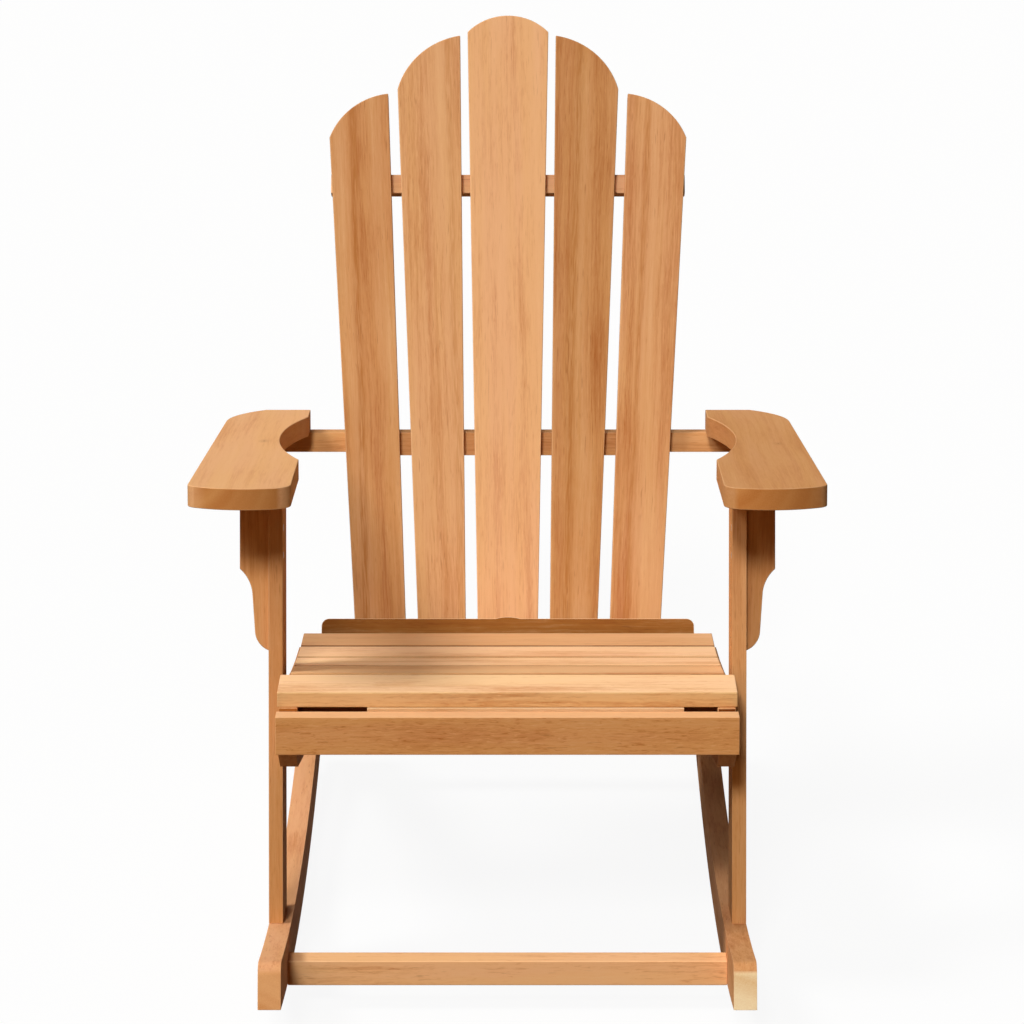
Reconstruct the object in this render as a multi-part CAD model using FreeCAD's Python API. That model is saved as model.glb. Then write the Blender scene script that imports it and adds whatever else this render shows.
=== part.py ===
import FreeCAD, Part
import math
import os

from FreeCAD import Placement, Rotation, Vector

# A rocking garden chair of sawn boards. Seen from the front, X runs to the right, Y away from the
# viewer and Z up, and left and right are the viewer's. The pieces are drawn in a working frame in
# which the rockers touch the floor along the line Y = 0, Z = 0. At the end the whole chair is
# turned about the centre of its rockers until it balances, and the origin is put under its middle.

# Width of the chair
overall_width = 700.0            # over the front corners of the arms
seat_slat_length = 484.0         # of the slats between the legs
slat_end_gap = 9.0               # from a slat's end to the leg's inner face

# Rockers
rocker_radius = 2750.0           # of the rolling edge
rocker_height = 50.0
rocker_thick = 25.0
rocker_front = 425.0             # reach of the rolling edge ahead of the line Y = 0
rocker_rear = 575.0              # reach behind it
rocker_end_slant = 12.0          # how far each end cut leans inwards at the top
rocker_end_round = 15.0

# Front legs
leg_thick = 16.0
leg_width = 76.0
leg_lean = 10.0                  # degrees from upright, top to the rear
leg_foot_front = -206.0          # Y of the foot's front edge

# Arms
arm_thick = 24.0
arm_length = 564.0
arm_front = -246.0               # Y of the foremost edge
arm_height = 564.3               # Z of the top face at that edge
arm_slope = 2.4                  # degrees, down to the rear
arm_front_bow = 22.0             # how far the front edge falls back at the outer corner
arm_outer_taper = 12.5           # how much narrower the outer edge is where the rear curve starts
arm_inner_reach = 14.5           # inner edge ahead of the notch, past the leg's inner face
arm_inner_rear_reach = 10.5      # inner edge behind the notch, past the same face
arm_notch_depth = 29.6           # from the inner edge ahead of the notch
arm_notch_start = 195.0          # from the foremost edge
arm_notch_end = 508.0
arm_rear_curve = 92.0            # length of the sweep at the outer rear corner
arm_rear_width = 54.0            # straight part of the rear end
arm_sweep_in = 13.0              # how far the sweep has come in at its middle point
arm_sweep_rise = 37.7            # of that point ahead of the rear end
arm_inner_bow = 12.0             # how far the front edge falls back at the inner corner
arm_outer_corner_round = 18.0
arm_inner_corner_round = 25.0

# Brackets under the arms
bracket_thick = 22.0
bracket_reach = 32.5
bracket_length = 180.5
bracket_block = 89.0             # height of the square upper part
bracket_waist = 18.5             # reach below the cove
bracket_set_back = 9.0           # behind the front edge of the leg
bracket_cove = 28.0              # height of the hollow curve
bracket_cove_share = (0.40, 0.36)    # its middle point: share of its reach, share of its height
bracket_toe = 22.0               # height of the round lower end
bracket_toe_start = 0.85         # share of the waist's reach where that end starts
bracket_toe_share = (0.56, 0.34)     # its middle point: share of the waist's reach, of its height

# Side rails
side_rail_thick = 20.0
side_rail_nose_low = 247.0       # Z of the lower edge at the nose
side_rail_nose_setback = 38.0    # nose edge behind the apron's front face
side_rail_slope = 10.3           # degrees, lower edge down to the rear
side_rail_knee = 200.0           # Y where the lower edge turns down to the rocker
side_rail_tail = 566.0           # Y of the rear end
side_rail_tail_rise = 4.0        # tail's lower corner above the rocker's lower edge
side_rail_tail_depth = 62.0
side_rail_tail_round = 24.0
side_rail_lie = 110.0            # length that lies flat on the rocker

# Seat slats, numbered from the front
seat_slat_thick = 17.0
seat_slat_width = 70.0
seat_gap = 6.0
seat_front = -240.0              # Y of the front slat's upper edge
seat_height = 334.0              # Z of that edge
seat_tilts = (-1.8, 8.3, 7.1, 4.6, 2.3)
seat_front_overlap = 2.0         # the front slat reaches this far over each leg

# Apron, its cleat and the rail behind it
apron_thick = 25.0
apron_height = 42.5
apron_overhang = 3.0             # past the outer faces of the side rails
apron_drop = 3.5                 # gap between the apron and the front slat
cleat_length = 348.0
cleat_offset = 20.0
cleat_width = 22.0
cleat_height = 26.0
seat_rail_thick = 20.0
seat_rail_height = 42.0
seat_rail_set_back = 32.0        # behind the apron's rear face

# Back. Heights in this group are measured up the slope from the foot line.
back_lean = 26.0                 # degrees from upright
back_foot = 174.0                # Y of the slats' front faces at the foot line
back_foot_height = 320.0
back_slat_thick = 18.0
back_slat_low = -55.0
middle_slat_half = 36.2          # half width at the foot line
middle_slat_spread = 0.0189      # gain in half width for each millimetre up
inner_slat_edges = (50.4, 107.8)
inner_slat_spread = (0.0121, 0.0432)
outer_slat_edges = (122.4, 183.4)
outer_slat_spread = (0.0388, 0.0607)
middle_slat_top = 737.6
middle_slat_crown = 21.7
inner_slat_tops = (733.0, 663.0)
inner_slat_crown = 15.6
outer_slat_tops = (657.1, 600.0)
outer_slat_crown = 13.2

# Rails across the back
lower_rail_thick = 20.0
lower_rail_height = 56.0
lower_rail_top = -9.8            # up the slope
lower_rail_inset = 29.5          # of its round corners, from the leg's inner face
lower_rail_shoulder = 22.0       # depth of the part with the round corners
lower_rail_round = 9.0
lower_rail_hump = 2.0
lower_rail_hump_half = 15.0
upper_rail_thick = 15.0
upper_rail_height = 24.0
upper_rail_low = 533.5
upper_rail_half = 218.0
arm_rail_depth = 25.0
arm_rail_height = 25.8
arm_rail_overhang = 5.5          # past the outer corner of the arm's rear end
arm_rail_step = 3.8
arm_rail_step_at = 182.0

# Stretchers
stretcher_depth = 31.0
stretcher_height = 28.0
front_stretcher_y = -290.0
front_stretcher_rise = -1.0      # against the rolling edge at its front corner
rear_stretcher_y = 452.0
rear_stretcher_rise = 2.0        # against the side rail's lower edge at its front corner

# Fasteners
dowel = 8.0
dowel_length = 40.0
short_dowel_length = 36.0
dowel_in_rail = 10.0             # bite of a cross piece's dowel in the side rail
rail_dowel_shares = (0.2, 0.5)   # heights of a rail's two end dowels, of the rail's height
seat_dowel = 6.0
seat_dowel_length = 26.0
seat_dowel_in_slat = 10.0
seat_dowel_inset = 6.0           # from the side rail's inner face
screw = 4.0
screw_head = 8.0
screw_point = 12.0               # bite of a slat screw in the second piece
long_screw = 5.0
long_screw_head = 10.0
long_screw_bite = 40.0
screw_cone = 0.55                # head depth for each millimetre of head beyond the shank
bite_share = 0.6                 # how deep an arm or bracket is entered, of its thickness
foot_screw_share = 0.4           # of the middle slat's half width, to each side of the middle
rail_screw_share = 0.5
bracket_screw_shares = (0.5, 0.85)      # of the bracket's square part, below the arm
arm_screw_inset = 16.0           # from the inner corner of the arm and from the rail's end
arm_screw_set_back = 17.5        # behind the arm rail's front face
bolt = 6.0
bolt_head = 14.0
bolt_head_deep = 3.0
sleeve = 9.0
sleeve_length = 15.0
socket = 4.0
socket_deep = 2.0
tail_bolt_inset = 21.0           # ahead of the side rail's tail
tail_bolt_step = 42.0

# Densities for finding the balance, in kilograms for each cubic metre
wood_density = 600.0
steel_density = 7850.0

# Faces that several pieces share
leg_inner = seat_slat_length / 2 + slat_end_gap
outer_face = leg_inner + leg_thick
rocker_inner = outer_face - rocker_thick
arm_inner = leg_inner - arm_inner_reach
arm_inner_rear = leg_inner - arm_inner_rear_reach
arm_rear_outer = arm_inner_rear + arm_rear_width
arm_rail_half = arm_rear_outer + arm_rail_overhang
rocker_top_radius = rocker_radius - rocker_height
rocking_centre = Vector(0, 0, rocker_radius)
far = 3000.0                     # longer than any piece, for the cutting shapes
touching = 0.5                   # how near an edge's middle must be to a place to be the one meant


def arc_height(radius, y):
    """Height at Y of a circle round the centre of the rockers."""
    return rocker_radius - math.sqrt(radius ** 2 - y ** 2)


def leaning(origin, degrees):
    """A frame at origin whose upright axis leans to the rear."""
    return Placement(origin, Rotation(Vector(1, 0, 0), -degrees))


leg_frame = leaning(Vector(0, leg_foot_front, arc_height(rocker_top_radius, leg_foot_front)), leg_lean)
back_frame = leaning(Vector(0, back_foot, back_foot_height), back_lean)
arm_frame = leaning(Vector(0, arm_front, arm_height), arm_slope)


def moved(shape, frame):
    copy = shape.copy()
    copy.Placement = frame.multiply(copy.Placement)
    return copy


def line(a, b):
    return Part.LineSegment(a, b).toShape()


def arc(a, through, b):
    return Part.Arc(a, through, b).toShape()


def flat_face(points):
    return Part.Face(Part.makePolygon([*points, points[0]]))


def side_board(profile, x_low, thick):
    """A board cut to a side profile of (y, z) points, between x_low and x_low + thick."""
    return flat_face([Vector(x_low, y, z) for y, z in profile]).extrude(Vector(thick, 0, 0))


def lowest_x(side, inner, thick):
    """Lowest X of a board that starts at inner and grows outwards, on the side -1 or +1."""
    return inner if side > 0 else -inner - thick


def height_on(points, y):
    """Height at Y on a line of (y, z) points, carried on past its ends."""
    for (y0, z0), (y1, z1) in zip(points, points[1:]):
        if y <= y1:
            break
    return z0 + (y - y0) * (z1 - z0) / (y1 - y0)


def edges_at(shape, places):
    """The edges whose middles lie on one of the places."""
    found = []
    for edge in shape.Edges:
        middle = edge.valueAt((edge.FirstParameter + edge.LastParameter) / 2)
        if any((middle - place).Length < touching for place in places):
            found.append(edge)
    return found


def above_rockers(shape):
    """Keeps what lies above the upper edges of the rockers."""
    base = rocking_centre - Vector(far / 2, 0, 0)
    return shape.common(Part.makeCylinder(rocker_top_radius, far, base, Vector(1, 0, 0)))


def arm_underside(y):
    slope = math.radians(arm_slope)
    return arm_height - arm_thick / math.cos(slope) - (y - arm_front) * math.tan(slope)


def under_arms(shape):
    """Keeps what lies below the lower faces of the arms."""
    block = Part.makeBox(far, far, far, Vector(-far / 2, -far / 2, -arm_thick - far))
    return shape.common(moved(block, arm_frame))


def arms_on_leg(y):
    """Length up a leg at which a line set y behind its front edge meets the arm's lower face."""
    lean, slope = math.radians(leg_lean), math.tan(math.radians(arm_slope))
    start_y = leg_frame.Base.y + y * math.cos(lean)
    start_z = leg_frame.Base.z - y * math.sin(lean)
    return (arm_underside(start_y) - start_z) / (math.cos(lean) + math.sin(lean) * slope)


def rocker_on_leg(y):
    """Length up a leg at which a line set y behind its front edge leaves the rocker."""
    start = leg_frame.multVec(Vector(0, y, 0)) - rocking_centre
    along = start.dot(leg_frame.Rotation.multVec(Vector(0, 0, 1)))
    return -along - math.sqrt(along ** 2 - start.dot(start) + rocker_top_radius ** 2)


# Seat line

def seat_slat_frames():
    """Y, Z and tilt of each seat slat at its front upper edge."""
    frames = []
    y, z = seat_front, seat_height
    for tilt in seat_tilts:
        frames.append((y, z, tilt))
        slope = math.radians(tilt)
        y += (seat_slat_width + seat_gap) * math.cos(slope)
        z -= (seat_slat_width + seat_gap) * math.sin(slope)
    return frames


def slat_point(frame, along, down):
    y, z, tilt = frame
    slope = math.radians(tilt)
    return (
        y + along * math.cos(slope) - down * math.sin(slope),
        z - along * math.sin(slope) - down * math.cos(slope),
    )


slat_frames = seat_slat_frames()
seat_bed = [
    slat_point(frame, along, seat_slat_thick)
    for frame in slat_frames
    for along in (0, seat_slat_width)
]
apron_rear = seat_bed[0][0] - apron_drop
apron_front = apron_rear - apron_thick
apron_top = seat_bed[0][1] - apron_drop
apron_bottom = apron_top - apron_height

# Side rail lines, seen from the side and from above
nose_y = apron_front + side_rail_nose_setback
knee_z = side_rail_nose_low - (side_rail_knee - nose_y) * math.tan(math.radians(side_rail_slope))
tail_z = arc_height(rocker_radius, side_rail_tail) + side_rail_tail_rise
side_rail_lower = [(nose_y, side_rail_nose_low), (side_rail_knee, knee_z), (side_rail_tail, tail_z)]
side_rail_upper = [*seat_bed, (side_rail_tail, tail_z + side_rail_tail_depth)]
leg_bearing_y = leg_frame.multVec(Vector(0, leg_width, arms_on_leg(0) / 2)).y
lie_y = side_rail_tail - side_rail_lie


def side_rail_outer(y):
    """X of the rail's outer face: on the leg in front, on the rocker's inner face behind."""
    share = min(1.0, max(0.0, (y - leg_bearing_y) / (lie_y - leg_bearing_y)))
    return leg_inner + share * (rocker_inner - leg_inner)


def side_rail_plan(side, shallow, deep):
    """A tall block that follows the rail, between two depths inwards from its outer face."""
    stations = (apron_front - far, leg_bearing_y, lie_y, side_rail_tail + far)
    points = [Vector(side * (side_rail_outer(y) - deep), y, -far / 2) for y in stations]
    points += [Vector(side * (side_rail_outer(y) - shallow), y, -far / 2) for y in reversed(stations)]
    return flat_face(points).extrude(Vector(0, 0, far))


def between_side_rails(shape):
    """Keeps what lies between the inner faces of the side rails."""
    for side in (-1, 1):
        shape = shape.cut(side_rail_plan(side, -far, side_rail_thick))
    return shape


# Boards

def make_rocker(side):
    """A sawn board with a round rolling edge and a parallel upper edge."""
    x_low = lowest_x(side, rocker_inner, rocker_thick)

    def at(radius, y):
        return Vector(x_low, y, arc_height(radius, y))

    front_low = at(rocker_radius, -rocker_front)
    rear_low = at(rocker_radius, rocker_rear)
    front_high = at(rocker_top_radius, -rocker_front + rocker_end_slant)
    rear_high = at(rocker_top_radius, rocker_rear - rocker_end_slant)
    wire = Part.Wire([
        arc(front_low, at(rocker_radius, 0), rear_low),
        line(rear_low, rear_high),
        arc(rear_high, at(rocker_top_radius, 0), front_high),
        line(front_high, front_low),
    ])
    body = Part.Face(wire).extrude(Vector(rocker_thick, 0, 0))
    half = Vector(rocker_thick / 2, 0, 0)
    return body.makeFillet(rocker_end_round, edges_at(body, [front_high + half, rear_high + half]))


def make_front_leg(side):
    slab = Part.makeBox(leg_thick, leg_width, 2 * arm_height)
    slab.translate(Vector(lowest_x(side, leg_inner, leg_thick), 0, -arm_height / 2))
    return under_arms(above_rockers(moved(slab, leg_frame)))


def make_side_rail(side):
    """The long board under one side of the seat, from the apron to the rocker's tail."""
    profile = [
        (apron_rear, apron_bottom),
        (apron_rear, height_on(seat_bed, apron_rear)),
        *side_rail_upper[1:],
        *reversed(side_rail_lower),
        (apron_front, apron_bottom),
    ]
    wide = side_board(profile, -overall_width / 2, overall_width)
    body = wide.common(side_rail_plan(side, 0, side_rail_thick))
    tail_x = side * (rocker_inner - side_rail_thick / 2)
    corner = Vector(tail_x, *side_rail_upper[-1])
    return body.makeFillet(side_rail_tail_round, edges_at(body, [corner]))


def make_seat_slat(index):
    length = seat_slat_length if index else 2 * (leg_inner + seat_front_overlap)
    corners = [(0, 0), (seat_slat_width, 0), (seat_slat_width, seat_slat_thick), (0, seat_slat_thick)]
    profile = [slat_point(slat_frames[index], along, down) for along, down in corners]
    return side_board(profile, -length / 2, length)


def make_apron():
    length = 2 * (leg_inner + apron_overhang)
    return Part.makeBox(length, apron_thick, apron_height, Vector(-length / 2, apron_front, apron_bottom))


def seat_bearer(front, depth, height, x_low, length):
    """A bar under the front slat, bevelled to lie against it."""
    top = [(front + depth, height_on(seat_bed, front + depth)), (front, height_on(seat_bed, front))]
    low = top[1][1] - height
    return side_board([(front, low), (front + depth, low), *top], x_low, length)


def make_front_cleat():
    return seat_bearer(apron_rear, cleat_width, cleat_height, cleat_offset - cleat_length / 2, cleat_length)


def make_seat_rail():
    front = apron_rear + seat_rail_set_back
    bar = seat_bearer(front, seat_rail_thick, seat_rail_height, -leg_inner, 2 * leg_inner)
    return between_side_rails(bar)


def make_arm(side):
    """A broad arm with a bowed front, a shallow notch inside and a swept outer rear corner."""
    outer = overall_width / 2
    sweep_y = arm_length - arm_rear_curve
    notch_middle_y = (arm_notch_start + arm_notch_end) / 2

    def at(x, y):
        return Vector(side * x, y, 0)

    front_outer = at(outer, arm_front_bow)
    front_inner = at(arm_inner, arm_inner_bow)
    front_middle = at((outer + arm_inner) / 2, 0)
    notch_start = at(arm_inner, arm_notch_start)
    notch_end = at(arm_inner_rear, arm_notch_end)
    rear_inner = at(arm_inner_rear, arm_length)
    rear_outer = at(arm_rear_outer, arm_length)
    sweep_start = at(outer - arm_outer_taper, sweep_y)
    sweep_middle = at(outer - arm_outer_taper - arm_sweep_in, arm_length - arm_sweep_rise)
    wire = Part.Wire([
        arc(front_outer, front_middle, front_inner),
        line(front_inner, notch_start),
        arc(notch_start, at(arm_inner + arm_notch_depth, notch_middle_y), notch_end),
        line(notch_end, rear_inner),
        line(rear_inner, rear_outer),
        arc(rear_outer, sweep_middle, sweep_start),
        line(sweep_start, front_outer),
    ])
    body = Part.Face(wire).extrude(Vector(0, 0, -arm_thick))
    half = Vector(0, 0, -arm_thick / 2)
    body = body.makeFillet(arm_outer_corner_round, edges_at(body, [front_outer + half]))
    body = body.makeFillet(arm_inner_corner_round, edges_at(body, [front_inner + half]))
    return moved(body, arm_frame)


def make_bracket(side):
    """The shaped block on the outside of a front leg, under the arm."""
    meets = arms_on_leg(bracket_set_back)
    top = meets + bracket_thick
    low = meets - bracket_length
    block_low = meets - bracket_block

    def at(x, z):
        return Vector(side * (outer_face + x), bracket_set_back, z)

    fall = bracket_reach - bracket_waist
    block_corner = at(bracket_reach, block_low)
    cove_out, cove_down = bracket_cove_share
    cove_middle = at(bracket_waist + cove_out * fall, block_low - cove_down * bracket_cove)
    cove_end = at(bracket_waist, block_low - bracket_cove)
    toe_start = at(bracket_waist * bracket_toe_start, low + bracket_toe)
    toe_out, toe_up = bracket_toe_share
    toe_middle = at(bracket_waist * toe_out, low + toe_up * bracket_toe)
    wire = Part.Wire([
        line(at(0, low), at(0, top)),
        line(at(0, top), at(bracket_reach, top)),
        line(at(bracket_reach, top), block_corner),
        arc(block_corner, cove_middle, cove_end),
        line(cove_end, toe_start),
        arc(toe_start, toe_middle, at(0, low)),
    ])
    body = Part.Face(wire).extrude(Vector(0, bracket_thick, 0))
    return under_arms(moved(body, leg_frame))


def back_board(edges, front, thick):
    """A board in the slope of the back, from the edges of its outline."""
    face = Part.Face(Part.Wire(edges))
    face.translate(Vector(0, front, 0))
    return moved(face.extrude(Vector(0, thick, 0)), back_frame)


def back_slat_edge(low, spread, z):
    return low + spread * z


def make_back_slat(left, right, tops, crown):
    """A slat that widens upwards. left and right are (x at the foot line, spread)."""
    def at(edge, z):
        return Vector(back_slat_edge(*edge, z), 0, z)

    a, b = at(left, tops[0]), at(right, tops[1])
    rise = Vector(a.z - b.z, 0, b.x - a.x).normalize() * crown
    edges = [
        line(at(left, back_slat_low), a),
        arc(a, (a + b) / 2 + rise, b),
        line(b, at(right, back_slat_low)),
        line(at(right, back_slat_low), at(left, back_slat_low)),
    ]
    return back_board(edges, 0, back_slat_thick)


def mirrored_slat(side, low, spread, tops, crown):
    """A slat beside the middle one. The first of each pair belongs to its inner edge."""
    inner = (side * low[0], side * spread[0])
    outer = (side * low[1], side * spread[1])
    if side > 0:
        return make_back_slat(inner, outer, tops, crown)
    return make_back_slat(outer, inner, tops[::-1], crown)


def make_middle_slat():
    half, spread = middle_slat_half, middle_slat_spread
    return make_back_slat((-half, -spread), (half, spread), (middle_slat_top,) * 2, middle_slat_crown)


def make_lower_rail():
    """The rail in front of the slats' feet, shouldered to fit between the side rails."""
    top = lower_rail_top
    low = top - lower_rail_height
    shoulder = top - lower_rail_shoulder
    corner = lower_rail_round
    inset = corner * (1 - math.sqrt(0.5))
    half, wide, hump = leg_inner - lower_rail_inset, leg_inner, lower_rail_hump_half

    def at(x, z):
        return Vector(x, 0, z)

    edges = [
        line(at(-wide, low), at(-wide, shoulder)),
        line(at(-wide, shoulder), at(-half, shoulder)),
        line(at(-half, shoulder), at(-half, top - corner)),
        arc(at(-half, top - corner), at(-half + inset, top - inset), at(-half + corner, top)),
        line(at(-half + corner, top), at(-hump, top)),
        arc(at(-hump, top), at(0, top + lower_rail_hump), at(hump, top)),
        line(at(hump, top), at(half - corner, top)),
        arc(at(half - corner, top), at(half - inset, top - inset), at(half, top - corner)),
        line(at(half, top - corner), at(half, shoulder)),
        line(at(half, shoulder), at(wide, shoulder)),
        line(at(wide, shoulder), at(wide, low)),
        line(at(wide, low), at(-wide, low)),
    ]
    return between_side_rails(back_board(edges, -lower_rail_thick, lower_rail_thick))


def make_upper_rail():
    corner = Vector(-upper_rail_half, back_slat_thick, upper_rail_low)
    bar = Part.makeBox(2 * upper_rail_half, upper_rail_thick, upper_rail_height, corner)
    return moved(bar, back_frame)


def arm_rail_section(height):
    """The (y, z) corners of the arm rail: front top, rear top, rear bottom, front bottom."""
    lean, slope = math.radians(back_lean), math.tan(math.radians(arm_slope))
    rear_foot = back_foot + back_slat_thick / math.cos(lean)
    y = rear_foot + math.tan(lean) * (arm_underside(rear_foot) - back_foot_height)
    y -= (y - rear_foot) * slope * math.tan(lean) / (1 + slope * math.tan(lean))
    top = [(y, arm_underside(y)), (y + arm_rail_depth, arm_underside(y + arm_rail_depth))]
    low = [(a - height * math.tan(lean), b - height) for a, b in reversed(top)]
    return top + low


def make_arm_rail():
    """The rail behind the slats that carries the rear ends of the arms."""
    ends = arm_rail_section(arm_rail_height - arm_rail_step)
    middle = arm_rail_section(arm_rail_height)
    bar = side_board(ends, -arm_rail_half, 2 * arm_rail_half)
    return bar.fuse(side_board(middle, -arm_rail_step_at, 2 * arm_rail_step_at)).removeSplitter()


front_stretcher_z = arc_height(rocker_radius, front_stretcher_y) + front_stretcher_rise
rear_stretcher_z = height_on(side_rail_lower, rear_stretcher_y) + rear_stretcher_rise


def make_stretcher(y, z):
    length = 2 * rocker_inner
    return Part.makeBox(length, stretcher_depth, stretcher_height, Vector(-length / 2, y, z))


# Fasteners. Each is made from the middle of its outer end and its direction into the wood.

def make_dowel(start, direction, length, diameter):
    return Part.makeCylinder(diameter / 2, length, start, direction)


def make_screw(start, direction, length, shank, head):
    """A countersunk screw whose head is flush with the surface."""
    deep = (head - shank) * screw_cone
    cone = Part.makeCone(head / 2, shank / 2, deep, start, direction)
    return cone.fuse(Part.makeCylinder(shank / 2, length, start, direction)).removeSplitter()


def hexagon(start, direction, across, deep):
    radius = across / math.sqrt(3)
    turns = [corner * math.pi / 3 for corner in range(6)]
    corners = [Vector(radius * math.cos(turn), radius * math.sin(turn), 0) for turn in turns]
    prism = flat_face(corners).extrude(Vector(0, 0, deep))
    return moved(prism, Placement(start, Rotation(Vector(0, 0, 1), direction)))


def make_bolt(start, direction, grip):
    """A flat-headed bolt let in flush, with a hexagon socket, that ends inside its sleeve."""
    body = Part.makeCylinder(bolt_head / 2, bolt_head_deep, start, direction)
    body = body.fuse(Part.makeCylinder(bolt / 2, grip - bolt_head_deep - socket_deep, start, direction))
    return body.removeSplitter().cut(hexagon(start, direction, socket, socket_deep))


def make_sleeve(start, direction, grip):
    """The sleeve nut that the bolt screws into, let in flush from the other side."""
    end = start + direction * grip
    body = Part.makeCylinder(bolt_head / 2, bolt_head_deep, end, -direction)
    body = body.fuse(Part.makeCylinder(sleeve / 2, sleeve_length, end, -direction)).removeSplitter()
    bore_end = end - direction * (bolt_head_deep + socket_deep)
    bore = Part.makeCylinder(bolt / 2, sleeve_length, bore_end, -direction)
    return body.cut(bore).cut(hexagon(end, -direction, socket, socket_deep))


def in_leg(x, y, z):
    return leg_frame.multVec(Vector(x, y, z))


def in_back(x, y, z):
    return back_frame.multVec(Vector(x, y, z))


def turned(frame, vector):
    return frame.Rotation.multVec(vector)


def make_seat_dowels():
    """Two blind dowels at each end of each seat slat, down into the side rail."""
    solids = []
    for frame in slat_frames:
        slope = math.radians(frame[2])
        down = Vector(0, -math.sin(slope), -math.cos(slope))
        for along in (seat_slat_width / 4, seat_slat_width * 3 / 4):
            y, z = slat_point(frame, along, seat_slat_thick - seat_dowel_in_slat)
            x = side_rail_outer(y) - side_rail_thick + seat_dowel_inset
            for side in (-1, 1):
                solids.append(make_dowel(Vector(side * x, y, z), down, seat_dowel_length, seat_dowel))
    return solids


def make_apron_dowels():
    y = apron_rear - short_dowel_length / 2
    x = leg_inner - side_rail_thick / 2
    heights = [apron_bottom + share * apron_height for share in rail_dowel_shares]
    return [make_dowel(Vector(side * x, y, z), Vector(0, 1, 0), short_dowel_length, dowel)
            for side in (-1, 1) for z in heights]


def cross_dowels(places):
    """Dowels along X between a cross piece and the side rails, at the given (y, z) places."""
    solids = []
    for y, z in places:
        x = side_rail_outer(y) - side_rail_thick + dowel_in_rail - short_dowel_length
        for side in (-1, 1):
            start = Vector(side * x, y, z)
            solids.append(make_dowel(start, Vector(side, 0, 0), short_dowel_length, dowel))
    return solids


def make_seat_rail_dowels():
    y = apron_rear + seat_rail_set_back + seat_rail_thick / 2
    low = height_on(seat_bed, apron_rear + seat_rail_set_back) - seat_rail_height
    return cross_dowels([(y, low + share * seat_rail_height) for share in rail_dowel_shares])


def make_lower_rail_dowels():
    low = lower_rail_top - lower_rail_height
    places = [in_back(0, -lower_rail_thick / 2, low + share * lower_rail_height)
              for share in rail_dowel_shares]
    return cross_dowels([(place.y, place.z) for place in places])


def make_rear_stretcher_dowels():
    z = rear_stretcher_z + stretcher_height / 2
    middle = rear_stretcher_y + stretcher_depth / 2
    return cross_dowels([(middle + step, z) for step in (-stretcher_depth / 4, stretcher_depth / 4)])


def make_foot_dowels():
    x = leg_inner + leg_thick / 2
    up = turned(leg_frame, Vector(0, 0, 1))
    return [make_dowel(in_leg(side * x, y, rocker_on_leg(y) - dowel_length / 2), up, dowel_length, dowel)
            for side in (-1, 1) for y in (leg_width / 4, leg_width * 3 / 4)]


def make_arm_dowels():
    """Two dowels from the top of each leg and one from each bracket, up into the arm."""
    up = turned(leg_frame, Vector(0, 0, 1))
    leg_x = leg_inner + leg_thick / 2
    places = [(leg_x, leg_width / 4), (leg_x, leg_width * 3 / 4)]
    places.append((outer_face + bracket_reach / 2, bracket_set_back + bracket_thick / 2))
    below = dowel_length - bite_share * arm_thick
    starts = [in_leg(side * x, y, arms_on_leg(y) - below) for side in (-1, 1) for x, y in places]
    return [make_dowel(start, up, dowel_length, dowel) for start in starts]


def slat_middles(z):
    """X of the middle of each back slat at a height up the slope."""
    middles = [0.0]
    for low, spread in ((inner_slat_edges, inner_slat_spread), (outer_slat_edges, outer_slat_spread)):
        x = sum(back_slat_edge(a, b, z) for a, b in zip(low, spread)) / 2
        middles += [-x, x]
    return sorted(middles)


def slat_screws(rear, thick, z, share):
    """Two screws at each back slat, driven forwards from a rear face through wood so thick."""
    forward = turned(back_frame, Vector(0, -1, 0))
    step = share * middle_slat_half
    return [make_screw(in_back(x, rear, z), forward, thick + screw_point, screw, screw_head)
            for middle in slat_middles(z) for x in (middle - step, middle + step)]


def make_slat_foot_screws():
    z = (lower_rail_top + back_slat_low) / 2
    return slat_screws(back_slat_thick, back_slat_thick, z, foot_screw_share)


def make_upper_rail_screws():
    z = upper_rail_low + upper_rail_height / 2
    return slat_screws(back_slat_thick + upper_rail_thick, upper_rail_thick, z, rail_screw_share)


def make_arm_rail_screws():
    """The screws that join the arm rail to the slats, square to the slope of the back."""
    lean = math.radians(back_lean)
    _, rear_top, rear_low, _ = arm_rail_section(arm_rail_height)
    y, z = (rear_top[0] + rear_low[0]) / 2, (rear_top[1] + rear_low[1]) / 2
    up = (y - back_foot) * math.sin(lean) + (z - back_foot_height) * math.cos(lean)
    thick = arm_rail_depth * math.cos(lean)
    return slat_screws(back_slat_thick + thick, thick, up, rail_screw_share)


def make_arm_end_screws():
    """Two screws at each end of the arm rail, up into the arm."""
    height = arm_rail_height - arm_rail_step
    rear, front = arm_rail_section(height)[2:]
    start_y = front[0] + arm_screw_set_back
    start_z = height_on([front, rear], start_y)
    up = turned(arm_frame, Vector(0, 0, 1))
    length = height + bite_share * arm_thick
    first = arm_inner_rear + arm_screw_inset
    last = arm_rail_half - arm_screw_inset
    return [make_screw(Vector(side * x, start_y, start_z), up, length, screw, screw_head)
            for side in (-1, 1) for x in (first, last)]


def make_bracket_screws():
    y = bracket_set_back + bracket_thick / 2
    meets = arms_on_leg(y)
    length = leg_thick + bite_share * bracket_reach
    starts = [in_leg(side * leg_inner, y, meets - share * bracket_block)
              for side in (-1, 1) for share in bracket_screw_shares]
    return [make_screw(start, Vector(start.x, 0, 0), length, screw, screw_head) for start in starts]


def make_cleat_screws():
    y = apron_rear + cleat_width
    z = height_on(seat_bed, apron_rear) - cleat_height / 2
    length = cleat_width + screw_point
    return [make_screw(Vector(cleat_offset + x, y, z), Vector(0, -1, 0), length, screw, screw_head)
            for x in (-cleat_length / 3, 0, cleat_length / 3)]


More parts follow.
